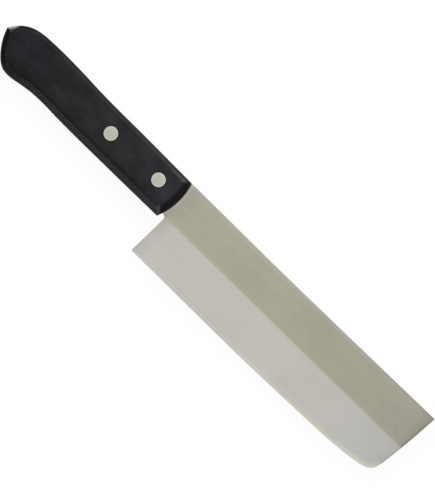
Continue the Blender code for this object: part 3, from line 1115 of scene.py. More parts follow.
# Factors on a colour, and the bands whose product says how far they take effect.
Tint = tuple[Colour, tuple[Band, ...]]
TIP_HALF = (Measure.FROM_TIP, -60.0, -15.0, 0.15)
LOW_BEVEL = falling(Measure.UP, 8.5, 12.0)
NEAR_EDGE = (falling(Measure.FROM_EDGE, 1.0, 5.0), LOW_BEVEL)


@dataclass(frozen=True)
class BladeSteel:
    """The steel of the blade's sides: warm and matt on the flat, paler on the wide bevel.

    The flat and the bevel each start as a blend of two tones and are then tinted in bands. All lengths are in
    millimetres, and those forward of the handle start at its front's crest.
    """

    tip_x: float
    edge_y: float
    front: Place
    front_radius: float
    smudge: Place
    flat: Colour = (0.319, 0.303, 0.2445)
    flat_at_tip: Colour = (0.3054, 0.2935, 0.245)
    bevel: Colour = (0.478, 0.461, 0.4306)
    bevel_at_tip: Colour = (0.424, 0.419, 0.400)
    tip_span: Span = (-50.0, 0.0)
    bevel_start: Span = (-0.8, 0.8)
    flat_tints: tuple[Tint, ...] = (
        # A painted sheen, cool, lies below the spine and gives way to a thin line of painted shade towards
        # the tip.
        ((1.07, 1.09, 1.20), (falling(Measure.BELOW_SPINE, 0.5, 2.8), falling(*TIP_HALF))),
        ((0.90, 0.90, 0.92), (falling(Measure.BELOW_SPINE, 0.5, 1.2), rising(*TIP_HALF))),
        # A painted glow lights the flat above the grind line, and painted shade darkens it beside the handle.
        ((1.02, 1.025, 1.015), (falling(Measure.ABOVE_GRIND, 1.2, 5.0),)),
        ((0.955, 0.96, 0.96), (falling(Measure.FORWARD, 3.0, 12.0), rising(Measure.FORWARD, 1.4, 3.4))),
    )
    bevel_tints: tuple[Tint, ...] = (
        # The bevel is warmer along the grind line and near the edge, where a painted glow runs along the
        # belly.
        ((1.0, 0.99, 0.945), (rising(Measure.ABOVE_GRIND, -2.4, -0.5),)),
        ((1.0, 1.02, 0.93), NEAR_EDGE),
        (
            (1.05, 1.05, 1.02),
            (rising(Measure.FROM_TIP, -119.0, -84.0), falling(Measure.FROM_TIP, -27.0, -14.0), *NEAR_EDGE),
        ),
        # A pale shoulder runs beside the honed bevel, and the corner of the tip is light.
        ((1.07, 1.07, 1.08), (rising(Measure.FROM_EDGE, 0.7, 1.0), falling(Measure.FROM_EDGE, 1.2, 1.7))),
        (
            (1.17, 1.17, 1.14),
            (falling(Measure.FROM_EDGE, 1.5, 3.2), LOW_BEVEL, rising(Measure.FROM_TIP, -32.0, -12.0)),
        ),
        # The heel has a painted dark line, and painted shade that is deeper towards its top.
        ((0.89, 0.89, 0.89), (falling(Measure.FORWARD, 0.5, 1.4),)),
        ((0.93, 0.93, 0.90), (rising(Measure.UP, 13.0, 22.0), falling(Measure.FORWARD, 1.0, 9.0))),
        ((0.925, 0.93, 0.93), (falling(Measure.FORWARD, 2.0, 9.0),)),
    )
    end_shade: Colour = (0.87, 0.87, 0.87)
    end_line: Colour = (0.79, 0.79, 0.80)
    end_start: float = 0.6
    end_reaches: tuple[float, float] = (8.0, 1.6)
    end_on_bevel: float = 0.45
    front_painted_light: Colour = (1.43, 1.45, 1.56)
    front_reach: float = 1.6
    smudge_shade: Colour = (0.89, 0.88, 0.87)
    smudge_reach: float = 1.5
    smudge_tail: Colour = (0.945, 0.94, 0.93)
    tail_drift: Place = (-2.6, 1.4)
    tail_reach: float = 1.9
    halo_radius: float = 0.3
    flat_roughness: float = 0.36
    bevel_roughness: float = 0.30
    calm_on_bevel: float = 0.35
    cloud_swing: float = 0.03
    brush_swing: float = 0.02
    cross_swing: float = 0.012
    cross_turn: float = 86.0
    roughness_swing: float = 0.03
    bump: float = 0.06

    def _tinted(self, desk: Desk, place: Sequence[Socket], colour: Socket, tints: Iterable[Tint]) -> Socket:
        """Tint a colour in bands.

        Args:
            desk: the material's desk.
            place: the places along and across the knife.
            colour: the colour without the tints.
            tints: the tints in order.

        Returns:
            The tinted colour.
        """
        along, across = place
        drawn = {
            Measure.FROM_TIP: (along, self.tip_x),
            Measure.FORWARD: (along, self.front[0] + self.front_radius),
            Measure.UP: (across, self.edge_y),
        }
        for factors, bands in tints:
            shares = []
            for band in bands:
                value, base = drawn.get(band.measure) or (desk.attribute(band.measure.value), 0.0)
                shares.append(desk.ramp(value, *shifted((band.start, band.end), base), band.low, band.high))
            colour = desk.tint(desk.product(*shares), colour, factors)
        return colour

    def material(self) -> Material:
        """Lay out the steel.

        Returns:
            The material, which reads the blade's own distance attributes.
        """
        material, desk = new_material("ground_steel")
        place = desk.place()
        along, across, _ = desk.split(place)
        clouds = desk.effect(Effect.CLOUDS, Vector=place, Size=32.0, Seed=2.0).outputs[0]
        brush = desk.effect(Effect.BRUSH, Vector=place, Length=26.0, Pitch=0.16, Seed=1.0).outputs[0]
        turned = desk.turned(place, self.cross_turn)
        cross = desk.effect(Effect.BRUSH, Vector=turned, Length=18.0, Pitch=0.2, Seed=5.0).outputs[0]
        stray = desk.effect(Effect.SCRATCHES, Vector=place, Length=11.0, Pitch=0.35, Angle=0.35, Rarity=0.72)

        on_bevel = desk.fade(desk.attribute(Measure.ABOVE_GRIND.value), *self.bevel_start)
        # Both tones darken towards the tip: painted shade.
        to_tip = desk.ramp(along, *shifted(self.tip_span, self.tip_x))
        flat, bevel = (
            self._tinted(desk, (along, across), desk.blend(to_tip, *tones), tints)
            for tones, tints in (
                ((self.flat, self.flat_at_tip), self.flat_tints),
                ((self.bevel, self.bevel_at_tip), self.bevel_tints),
            )
        )
        colour = desk.blend(on_bevel, flat, bevel)
        # Painted shade darkens the steel towards the square end, with a painted dark line along it.
        from_end = desk.attribute(Measure.FROM_END.value)
        off_bevel = desk.spread(on_bevel, 1.0, self.end_on_bevel)
        for reach, tint in zip(self.end_reaches, (self.end_shade, self.end_line)):
            share = desk.product(desk.fade(from_end, self.end_start, reach), off_bevel)
            colour = desk.tint(share, colour, tint)
        # Painted light lies in a band beside the handle's front; the smudge and its tail darken the steel.
        tail = (self.smudge[0] + self.tail_drift[0], self.smudge[1] + self.tail_drift[1])
        for centre, radius, reach, tint in (
            (self.front, self.front_radius + self.halo_radius, self.front_reach, self.front_painted_light),
            (self.smudge, self.halo_radius, self.smudge_reach, self.smudge_shade),
            (tail, self.halo_radius, self.tail_reach, self.smudge_tail),
        ):
            colour = desk.tint(desk.halo(place, centre, radius, reach), colour, tint)

        calm = desk.spread(on_bevel, 1.0, self.calm_on_bevel)
        fine = desk.swing(brush, 0.0, self.brush_swing), desk.swing(cross, 0.0, self.cross_swing)
        fine = desk.maths("MULTIPLY_ADD", desk.maths("ADD", *fine), calm, 1.0)
        colour = desk.toned(colour, desk.product(desk.swing(clouds, 1.0, self.cloud_swing), fine))
        roughness = desk.spread(on_bevel, self.flat_roughness, self.bevel_roughness)
        streak = desk.product(desk.swing(brush, 0.0, self.roughness_swing), calm)
        roughness = desk.maths("ADD", roughness, streak)
        height = desk.maths("ADD", brush, desk.product(stray.outputs[0], STEEL_SCRATCH))
        normal = desk.relief(desk.product(height, calm), self.bump)
        surface(desk, roughness, 1.0, Base_Color=colour, Normal=normal)
        return material


@dataclass(frozen=True)
class PlainSteel:
    """Steel of one tone with brushed lines, for the spine, the honed edge and the rivets.

    Lengths are in millimetres. The far colour takes over along the knife within its span, and each centre is
    a disc with a colour of its own.
    """

    name: str
    colour: Colour
    roughness: float
    variation: float = 0.05
    length: float = 12.0
    pitch: float = 0.12
    turn: float = 0.0
    brush_share: float = 0.6
    roughness_swing: float = 0.04
    bump: float = 0.08
    far: Colour | None = None
    far_span: Span = (0.0, 1.0)
    centres: tuple[Place, ...] = ()
    centre_radius: float = 2.6
    centre_reach: float = 0.5
    centre_colour: Colour = (0.41, 0.409, 0.343)

    def material(self) -> Material:
        """Lay out the steel.

        Returns:
            The material.
        """
        material, desk = new_material(self.name)
        place = desk.place()
        turned = desk.turned(place, self.turn)
        brush = desk.effect(Effect.BRUSH, Vector=turned, Length=self.length, Pitch=self.pitch, Seed=3.0)
        brush = brush.outputs[0]
        clouds = desk.effect(Effect.CLOUDS, Vector=place, Size=4.0, Seed=7.0).outputs[0]
        stray = desk.effect(Effect.SCRATCHES, Vector=place, Length=4.0, Pitch=0.3, Angle=0.9, Rarity=0.7)
        tone = desk.product(brush, self.brush_share), desk.product(clouds, 1 - self.brush_share)
        tone = desk.swing(desk.maths("ADD", *tone), 1.0, self.variation)
        colour = self.colour
        if self.far:
            colour = desk.blend(desk.ramp(desk.split(place)[0], *self.far_span), colour, self.far)
        for centre in self.centres:
            disc = desk.halo(place, centre, self.centre_radius, self.centre_reach)
            colour = desk.blend(disc, colour, self.centre_colour)
        colour = desk.toned(colour, tone)
        roughness = desk.swing(brush, self.roughness, self.roughness_swing)
        height = desk.maths("ADD", brush, desk.product(stray.outputs[0], STEEL_SCRATCH))
        surface(desk, roughness, 1.0, Base_Color=colour, Normal=desk.relief(height, self.bump))
        return material


@dataclass(frozen=True)
class Glint:
    """A painted highlight: a small pale glint on a scale, measured from the datum in millimetres."""

    forward: float
    up: float
    reach: float
    strength: float


@dataclass(frozen=True)
class DarkWood:
    """Near-black resin-laminated wood, sanded to a soft sheen.

    Places and spans are in millimetres: the butt's span from the butt, the front's from the front and the
    belly's up from the belly. Wood without rivets has none of the marks: no darker belly, painted light and
    shade, rivet rings or glints.
    """

    name: str
    datum: Place = (0.0, 0.0)
    rivets: tuple[Place, ...] = ()
    ends: Span = (-145.0, -23.0)
    belly_y: float = -2.0
    shares: tuple[float, float, float] = (0.2, 0.62, 0.18)
    dark: Colour = (0.0105, 0.0102, 0.0114)
    light: Colour = (0.0252, 0.0249, 0.0270)
    butt_tint: Colour = (0.70, 0.68, 0.76)
    butt_span: Span = (10.0, 75.0)
    front_tint: Colour = (1.16, 1.12, 1.27)
    front_span: Span = (-35.0, -4.0)
    belly_tint: Colour = (0.84, 0.84, 0.82)
    belly_span: Span = (4.0, 11.0)
    painted_light: Colour = (0.0600, 0.0600, 0.0620)
    worn_swing: float = 0.28
    shade: Colour = (0.0030, 0.0027, 0.0027)
    painted_highlight: Colour = (0.205, 0.205, 0.205)
    coat_roughness: float = 0.12
    coat_ior: float = 2.2
    ring_tint: Colour = (0.93, 0.905, 0.68)
    ring_radius: float = 3.72
    ring_reaches: tuple[float, float] = (2.0, 0.6)
    ring_shade: float = 0.35
    glint: Colour = (0.1000, 0.1000, 0.1030)
    glint_radius: float = 0.3
    glints: tuple[Glint, ...] = (
        Glint(-2.2, -22.0, 1.3, 0.42), Glint(-3.6, -20.5, 1.3, 0.40), Glint(-4.3, -2.1, 0.9, 0.40),
        Glint(-107.5, -22.4, 0.6, 0.2),
    )
    roughness: float = 0.38
    fibre_swing: float = 0.05
    cloud_swing: float = 0.04
    specular: float = 0.05
    bump: float = 0.12

    def _marked(self, desk: Desk, place: Socket, colour: Socket) -> Socket:
        """Add the darker belly, painted light and shade on the rolled edges, the dark rings round the rivets
        and glints.

        Args:
            desk: the material's desk.
            place: the place in millimetres.
            colour: the wood's colour without them.

        Returns:
            The colour with them.
        """
        low = desk.fade(desk.split(place)[1], *shifted(self.belly_span, self.belly_y))
        colour = desk.tint(low, colour, self.belly_tint)
        mottle = desk.effect(Effect.CLOUDS, Vector=place, Size=1.3, Seed=21.0, Detail=1.0).outputs[0]
        # The rolled edges are painted: a painted sheen, then painted shade and a painted highlight.
        painted_sheen = desk.product(desk.attribute("painted_sheen"), desk.swing(mottle, 1.0, self.worn_swing))
        colour = desk.blend(painted_sheen, colour, self.painted_light)
        for name, mark in (("shaded", self.shade), ("gloss_and_highlight", self.painted_highlight)):
            colour = desk.blend(desk.attribute(name), colour, mark)
        for axis in self.rivets:
            wide, narrow = (desk.halo(place, axis, self.ring_radius, reach) for reach in self.ring_reaches)
            colour = desk.tint(wide, colour, self.ring_tint)
            colour = desk.blend(desk.product(narrow, self.ring_shade), colour, self.shade)
        # Painted highlights: small pale glints on the scales.
        for glint in self.glints:
            centre = (self.datum[0] + glint.forward, self.datum[1] + glint.up)
            patch = desk.halo(place, centre, self.glint_radius, glint.reach)
            colour = desk.blend(desk.product(patch, glint.strength), colour, self.glint)
        return colour

    def material(self) -> Material:
        """Lay out the wood.

        Returns:
            The material.
        """
        material, desk = new_material(self.name)
        place = desk.place()
        along = desk.split(place)[0]
        plies, fibres = desk.effect(Effect.PLIES, Vector=place, Ply=1.1, Warp=0.9, Fibre=0.16).outputs
        clouds = desk.effect(Effect.CLOUDS, Vector=place, Size=9.0, Seed=11.0, Detail=3.0).outputs[0]
        stray = desk.effect(Effect.SCRATCHES, Vector=place, Length=7.0, Pitch=0.4, Angle=0.2, Rarity=0.7)
        parts = zip((plies, clouds, fibres), self.shares)
        tone = reduce(partial(desk.maths, "ADD"), [desk.product(part, share) for part, share in parts])
        colour = desk.blend(tone, self.dark, self.light)
        butt, front = self.ends
        colour = desk.tint(desk.fade(along, *shifted(self.butt_span, butt)), colour, self.butt_tint)
        colour = desk.tint(desk.ramp(along, *shifted(self.front_span, front)), colour, self.front_tint)
        if self.rivets:
            colour = self._marked(desk, place, colour)
        roughness = desk.swing(fibres, self.roughness, self.fibre_swing)
        roughness = desk.maths("ADD", roughness, desk.swing(clouds, 0.0, self.cloud_swing))
        height = desk.maths("ADD", fibres, desk.product(stray.outputs[0], WOOD_SCRATCH))
        shader = surface(desk, roughness, 0.0, Base_Color=colour, Normal=desk.relief(height, self.bump))
        shader.inputs["Specular IOR Level"].default_value = self.specular
        if self.rivets:
            desk.link(desk.attribute("gloss_and_highlight"), shader, "Coat Weight")
            shader.inputs["Coat Roughness"].default_value = self.coat_roughness
            shader.inputs["Coat IOR"].default_value = self.coat_ior
        return material


# Pieces


def hand_over(piece: Piece, slot: Slot, *nodes: str) -> None:
    """Let a finished piece ride on the knife and stand for CAD nodes.

    Args:
        piece: the finished piece.
        slot: the record's material slot; not used.
        *nodes: the CAD nodes that it replaces.
    """
    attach(piece, BODY)
    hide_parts(*nodes)
    log.info("%s: %d faces, stands for %s", piece.name, len(piece.data.polygons), ", ".join(nodes))


def paint(piece: Piece, name: str, values: Iterable[float]) -> None:
    """Keep one number for each corner of a piece as an attribute that its material reads."""
    attribute = piece.data.attributes.new(name, "FLOAT", "POINT")
    attribute.data.foreach_set("value", np.array(list(values), dtype=np.float32))


@dataclass
class Rivet:
    """A two-part rivet: a tube with a head from the left, and a pin with a head from the right."""

    name: str
    place: Place
    outer: float = 8.75 * MM
    head: float = 3.7 * MM
    head_depth: float = 1.6 * MM
    rim_break: float = 0.12 * MM
    rim_depth: float = 0.07 * MM
    crown: float = 0.03 * MM
    crown_shares: tuple[float, ...] = (0.55, 0.3, 0.15)
    crown_inset: float = 0.24
    tube: float = 2.4 * MM
    pin: float = 1.6 * MM
    pin_break: float = 0.2 * MM
    clearance: float = 0.03 * MM
    end_gap: float = 0.5 * MM
    overshoot: float = 1.0 * MM
    sides: int = 72
    crease: float = 20.0

    def _cylinder(self, name: str, radius: float, depth: float, middle: float = 0.0) -> Bench:
        """Start a piece as an upright cylinder on the rivet's axis.

        Args:
            name: the piece's name.
            radius: the cylinder's radius.
            depth: how tall it is.
            middle: the height of its middle.

        Returns:
            The bench with the open piece.
        """
        return Bench.start(
            name, bpy.ops.mesh.primitive_cylinder_add, vertices=self.sides, radius=radius, depth=depth,
            end_fill_type="NGON", location=(*self.place, middle),
        )

    def _head(self, name: str, side: Side) -> Bench:
        """Turn a head with a broken rim and a faint crown.

        Args:
            name: the piece's name.
            side: the side of the knife that the head lies on.

        Returns:
            The bench with the open head, whose inner face is picked.
        """
        sign = side.value
        bench = self._cylinder(name, self.head, self.head_depth, sign * (self.outer - self.head_depth / 2))
        bench.close()
        bench.fix_place()
        bench.open()
        top = sign * self.outer
        bench.pick(Pick.EDGES, lambda edge: all(abs(c.co.z - top) < SAME_HEIGHT for c in edge.verts))
        bpy.ops.mesh.bevel(offset=self.rim_break, segments=1, affect="EDGES")
        # The break is shallower than it is wide, so it catches the light alike all round.
        low = top - sign * self.rim_break
        bench.pick(Pick.CORNERS, lambda corner: abs(corner.co.z - low) < SAME_HEIGHT)
        bench.move((0.0, 0.0, sign * (self.rim_break - self.rim_depth)))
        bench.pick_cap(sign)
        for share in self.crown_shares:
            bpy.ops.mesh.inset(thickness=self.head * self.crown_inset)
            bench.move((0.0, 0.0, sign * self.crown * share))
        bench.pick(Pick.CORNERS, lambda corner: True)
        bench.move((0.0, 0.0, -sign * self.crown))
        bench.pick_cap(-sign)
        return bench

    def drill_bit(self) -> Piece:
        """Shape a stepped cutter for the holes that the rivet needs through the whole handle.

        Returns:
            The cutter, about the datum.
        """
        inner, seat = self.tube + self.clearance, self.outer - self.head_depth - self.clearance
        bench = self._cylinder(f"{self.name}_bit", inner, 2 * seat)
        widening = 1 + (self.head + self.clearance - inner) / inner
        for side in Side:
            bench.pick_cap(side.value)
            bench.extrude()
            bench.stretch((widening, widening, 1.0), (*self.place, 0.0))
            bench.extrude((0.0, 0.0, side.value * (self.head_depth + self.overshoot)))
        bench.face_out()
        bench.close()
        bench.fix_place()
        return bench.piece

    def make(self, datum: Vector, steel: Material) -> list[Piece]:
        """Make both halves.

        Args:
            datum: the point that they are drawn about.
            steel: their material.

        Returns:
            The male and the female half.
        """
        reach = 2 * (self.outer - self.head_depth) - self.end_gap - self.crown
        pieces = []
        for side, half in ((Side.RIGHT, "male"), (Side.LEFT, "female")):
            bench = self._head(f"{self.name}_{half}_half", side)
            if side is Side.RIGHT:
                bpy.ops.mesh.inset(thickness=self.head - self.pin)
                bench.extrude((0.0, 0.0, -reach))
                bpy.ops.mesh.bevel(offset=self.pin_break, segments=2, affect="EDGES")
            else:
                bpy.ops.mesh.inset(thickness=self.head - self.tube)
                bench.extrude((0.0, 0.0, reach))
                bpy.ops.mesh.inset(thickness=self.tube - self.pin - self.clearance)
                bench.extrude((0.0, 0.0, -reach))
            bench.face_out()
            bench.close()
            piece = bench.finish(datum, self.crease)
            piece.data.materials.append(steel)
            hand_over(piece, Slot.RIVET, f"{self.name}_{half}")
            pieces.append(piece)
        return pieces


@dataclass
class Blade:
    """The blade and its tang: a tapered plate, ground from the grind line down and honed along the edge.

    An edge's easing takes a share of the plate's half thickness there, times a weight that grows along the
    blade, and fades out where the wide bevel nears the tip's curve.
    """

    plan: BladePlan = field(default_factory=BladePlan)
    handle: HandlePlan = field(default_factory=HandlePlan)
    flat_rows: tuple[float, ...] = (0.0, 0.06, 0.2, 0.5, 0.8, 0.94, 1.0)
    bevel_rows: tuple[float, ...] = (0.05, 0.16, 0.35, 0.58, 0.8, 0.93, 1.0)
    corner_columns: int = 6
    fillet_angles: tuple[int, ...] = (12, 24, 36, 48, 60, 70, 80, 90)
    tang_steps: int = 26
    easing: float = 0.45 * MM
    easing_steps: int = 3
    easing_share: float = 0.75
    easing_weight: float = 0.45
    easing_growth: float = 0.35
    easing_span: Span = (0.65, 0.9)
    easing_fade: float = 6.0 * MM

    def _spine_places(self, shares: Sequence[float]) -> list[Place]:
        """Draw the spine, whose last few places go round the corner of the square end.

        Args:
            shares: how far along the blade each column lies.

        Returns:
            One place for each column.
        """
        plan, radius = self.plan, self.plan.tip_corner
        centre = (plan.tip - radius, plan.spine_y(plan.tip) - radius)
        straight = len(shares) - self.corner_columns
        places = []
        for i in range(straight):
            x = plan.heel_setback + (plan.length - radius) * shares[i] / shares[straight - 1]
            places.append((x, plan.spine_y(x)))
        for i in range(1, self.corner_columns + 1):
            angle = math.radians(90 - 90 * i / self.corner_columns)
            x, y = centre[0] + radius * math.cos(angle), centre[1] + radius * math.sin(angle)
            places.append((min(x, plan.end_x(y)), y))
        return places

    def sheet(self) -> list[list[tuple[float, float, float]]]:
        """Draw the right side's surface.

        Returns:
            Columns of places, each one from the spine to the edge.
        """
        plan = self.plan
        edge = plan.edge()
        inner, fades = plan.honed(edge)
        steps = np.linalg.norm(np.diff(np.array(edge), axis=0), axis=1)
        shares = np.concatenate([[0.0], np.cumsum(steps)]) / steps.sum()
        spine = self._spine_places(shares)
        end_y = plan.grind_y(plan.tip)
        end = (plan.end_x(end_y), end_y)
        columns = []
        for i, share in enumerate(shares):
            x = plan.heel_setback + (end[0] - plan.heel_setback) * share
            grind = (x, plan.grind_y(x) if i else plan.neck_low)
            places = []
            for upper, lower, upper_end, lower_end, rows in (
                (spine[i], grind, spine[-1], end, self.flat_rows),
                (grind, inner[i], end, inner[-1], self.bevel_rows),
            ):
                for row in rows:
                    x, y = mixed(upper, lower, row)
                    last_x, last_y = mixed(upper_end, lower_end, row)
                    # Towards the tip the columns lean on to the curve of the square end.
                    x += (plan.end_x(last_y) - last_x) * share
                    if i == 0:
                        x = plan.heel_x(y)
                    places.append((x, y, plan.half(x, y)))
            full, land = plan.half(*edge[i]), plan.edge_land / 2
            places.append((*edge[i], land + (full - land) * fades[i]))
            columns.append(places)
        return columns

    def _tang(self, bench: Bench, first: list[int]) -> None:
        """Draw the neck and the tang back from the heel, one column at a time.

        Args:
            bench: the open blade.
            first: the heel column's corners, from the spine to the neck.
        """
        plan = self.plan
        centre = (plan.heel_setback - plan.neck_fillet, plan.neck_low)
        lower = []
        for angle in map(math.radians, self.fillet_angles):
            x = centre[0] + plan.neck_fillet * math.cos(angle)
            lower.append((x, centre[1] + plan.neck_fillet * math.sin(angle)))
        neck = lower[-1]
        corner = [(x - plan.tang_length, y - plan.tang_end_width) for x, y in plan.tang_corner]
        lower += [mixed(neck, corner[0], i / self.tang_steps) for i in range(1, self.tang_steps + 1)]
        shape = bench.shape()
        top, bottom = shape.verts[first[0]].co.copy(), shape.verts[first[-1]].co.copy()
        bench.pick_between(first)
        for x, y in lower + corner[1:]:
            new_top = self.handle.top_y(x)
            bench.extrude((x - top.x, 0.0, 0.0))
            bench.stretch((1.0, (y - new_top) / (bottom.y - top.y), 1.0), (x, top.y, 0.0))
            bench.move((0.0, new_top - top.y, 0.0))
            top, bottom = Vector((x, new_top, 0.0)), Vector((x, y, 0.0))

    def _body(self, finishes: Mapping[Zone, Material]) -> Bench:
        """Shape the right side's surface with the tang, wall its border to the middle and mirror it all.

        Args:
            finishes: the material of each zone.

        Returns:
            The bench with the open blade.
        """
        columns = self.sheet()
        rows = len(columns[0])
        bench = Bench.start(
            "ground_blade", bpy.ops.mesh.primitive_grid_add, x_subdivisions=len(columns) - 1,
            y_subdivisions=rows - 1, size=1.0,
        )
        for zone in Zone:
            bench.piece.data.materials.append(finishes[zone])
        order = sorted(bench.shape().verts, key=lambda c: (round(c.co.x, 5), -round(c.co.y, 5)))
        numbers = [corner.index for corner in order]
        bench.settle({n: columns[k // rows][k % rows] for k, n in enumerate(numbers)})
        honed = {n for k, n in enumerate(numbers) if k % rows >= rows - 2}
        bench.pick(Pick.FACES, lambda face: all(corner.index in honed for corner in face.verts))
        bench.give_zone(Zone.HONED)
        self._tang(bench, numbers[: len(self.flat_rows)])
        bench.pick_nothing(Pick.EDGES)
        bpy.ops.mesh.select_non_manifold(
            extend=False, use_wire=False, use_multi_face=False, use_non_contiguous=False, use_verts=False
        )
        bench.extrude()
        bench.stretch((1.0, 1.0, 0.0), (0.0, 0.0, 0.0))
        # The new walls stand upright, and every other face lies nearly flat.
        bench.pick(Pick.FACES, lambda face: abs(face.normal.z) < UPWARD or face.calc_area() < NO_AREA)
        bench.give_zone(Zone.SPINE)
        bench.merge()
        bench.close()
        bench.apply("other_side", "MIRROR", use_axis=(False, False, True), merge_threshold=0.001 * MM)
        bench.open()
        bench.face_out()
        return bench

    def _easing_weight(self, edge: bmesh.types.BMEdge) -> int:
        """Weigh an edge for the easing: less where the blade is thin, and nothing where no zones meet.

        Args:
            edge: an edge of the open blade.

        Returns:
            The edge's weight in tenths.
        """
        plan = self.plan
        zones = {face.material_index for face in edge.link_faces}
        if len(zones) < 2 or Zone.SPINE.value not in zones:
            return 0
        middle = (edge.verts[0].co + edge.verts[1].co) / 2
        if middle.x < self.handle.front_crest or Zone.HONED.value in zones:
            return 0
        share = min(1.0, self.easing_share * abs(middle.z) / self.easing)
        share *= self.easing_weight + self.easing_growth * ramped(middle.x / plan.tip, *self.easing_span)
        if middle.x > plan.tip / 2 and middle.y < plan.grind_y(middle.x):
            fade_end = plan.edge_curve[-1][1] * MM - plan.height
            share *= min(max((middle.y - fade_end) / self.easing_fade, 0.0), 1.0)
        return round(10 * share)

    def _ease_edges(self, bench: Bench) -> None:
        """Ease the long edges of the spine, the square end and the heel, in near-black steel: a painted dark
        reflection.

        Args:
            bench: the bench with the open blade, which is left closed.
        """
        for tenths in range(1, 11):
            if bench.pick(Pick.EDGES, lambda edge, tenths=tenths: self._easing_weight(edge) == tenths):
                bpy.ops.transform.edge_bevelweight(value=tenths / 10)
        bench.close()
        bench.apply(
            "easing", "BEVEL", limit_method="WEIGHT", width=self.easing, segments=self.easing_steps,
            material=Zone.EASED.value,
        )

    def _crease_lines(self, bench: Bench) -> None:
        """Keep the grind line and the honed line crisp.

        Args:
            bench: the bench with the open blade.
        """
        plan, honed = self.plan, Zone.HONED.value

        def on_grind(corner: bmesh.types.BMVert) -> bool:
            """Say whether a corner lies on the grind line."""
            return corner.co.x > plan.heel_setback and abs(corner.co.y - plan.grind_y(corner.co.x)) < ON_LINE

        bench.pick(Pick.EDGES, lambda edge: all(on_grind(corner) for corner in edge.verts))
        bpy.ops.mesh.mark_sharp()
        # Only an edge of the honed bevel has a face on it and one off it.
        bench.pick(
            Pick.EDGES, lambda edge: len({face.material_index == honed for face in edge.link_faces}) == 2
        )
        bpy.ops.mesh.mark_sharp()

    def _paint_distances(self, piece: Piece, datum: Vector) -> None:
        """Paint each corner's distances from the blade's lines, in millimetres.

        Args:
            piece: the finished blade.
            datum: the point that it was drawn about.
        """
        plan = self.plan
        edge = np.array(plan.edge())
        places = [(corner.co.x - datum.x, corner.co.y - datum.y) for corner in piece.data.vertices]
        distances = {
            Measure.ABOVE_GRIND: [y - plan.grind_y(x) for x, y in places],
            Measure.FROM_EDGE: [away_from(edge, place) for place in places],
            Measure.BELOW_SPINE: [plan.spine_y(x) - y for x, y in places],
            Measure.FROM_END: [plan.end_x(y) - x for x, y in places],
        }
        for measure, values in distances.items():
            paint(piece, measure.value, (value / MM for value in values))

    def make(self, datum: Vector, finishes: Mapping[Zone, Material], bits: Iterable[Piece]) -> Piece:
        """Make the blade.

        Args:
            datum: the point that it is drawn about.
            finishes: the material of each zone.
            bits: the cutters of the rivet holes.

        Returns:
            The finished blade.
        """
        bench = self._body(finishes)
        self._ease_edges(bench)
        bench.drill(bits)
        bench.open()
        bench.merge()
        self._crease_lines(bench)
        bench.close()
        piece = bench.finish(datum)
        self._paint_distances(piece, datum)
        hand_over(piece, Slot.BLADE, "blade")
        return piece


class RimSide(Enum):
    """The sides of a scale, in the order that its plan draws them in."""

    FRONT = 0
    BELLY = 1
    SPINE = 2


@dataclass(frozen=True)
class RimSpot:
    """A place on a scale: how far in it lies from each side, how far along, and its rise up the rolled edge.

    Lengths are in millimetres. The rise is 0 at the top of the side wall and 1 on the flat face. The place
    is on the right half when its face turns to the right side of the knife.
    """

    front: float
    belly: float
    spine: float
    nearest: RimSide
    along: float
    rise: float
    on_right: bool


@dataclass(frozen=True)
class Growth:
    """An amount that builds up gently from one place to another."""

    start: float
    end: float
    amount: float = 1.0

    def at(self, place: float) -> float:
        """Return how much there is at a place."""
        return self.amount * ramped(place, self.start, self.end)

    def spared(self, place: float) -> float:
        """Return what the amount at a place leaves of 1."""
        return 1 - self.at(place)


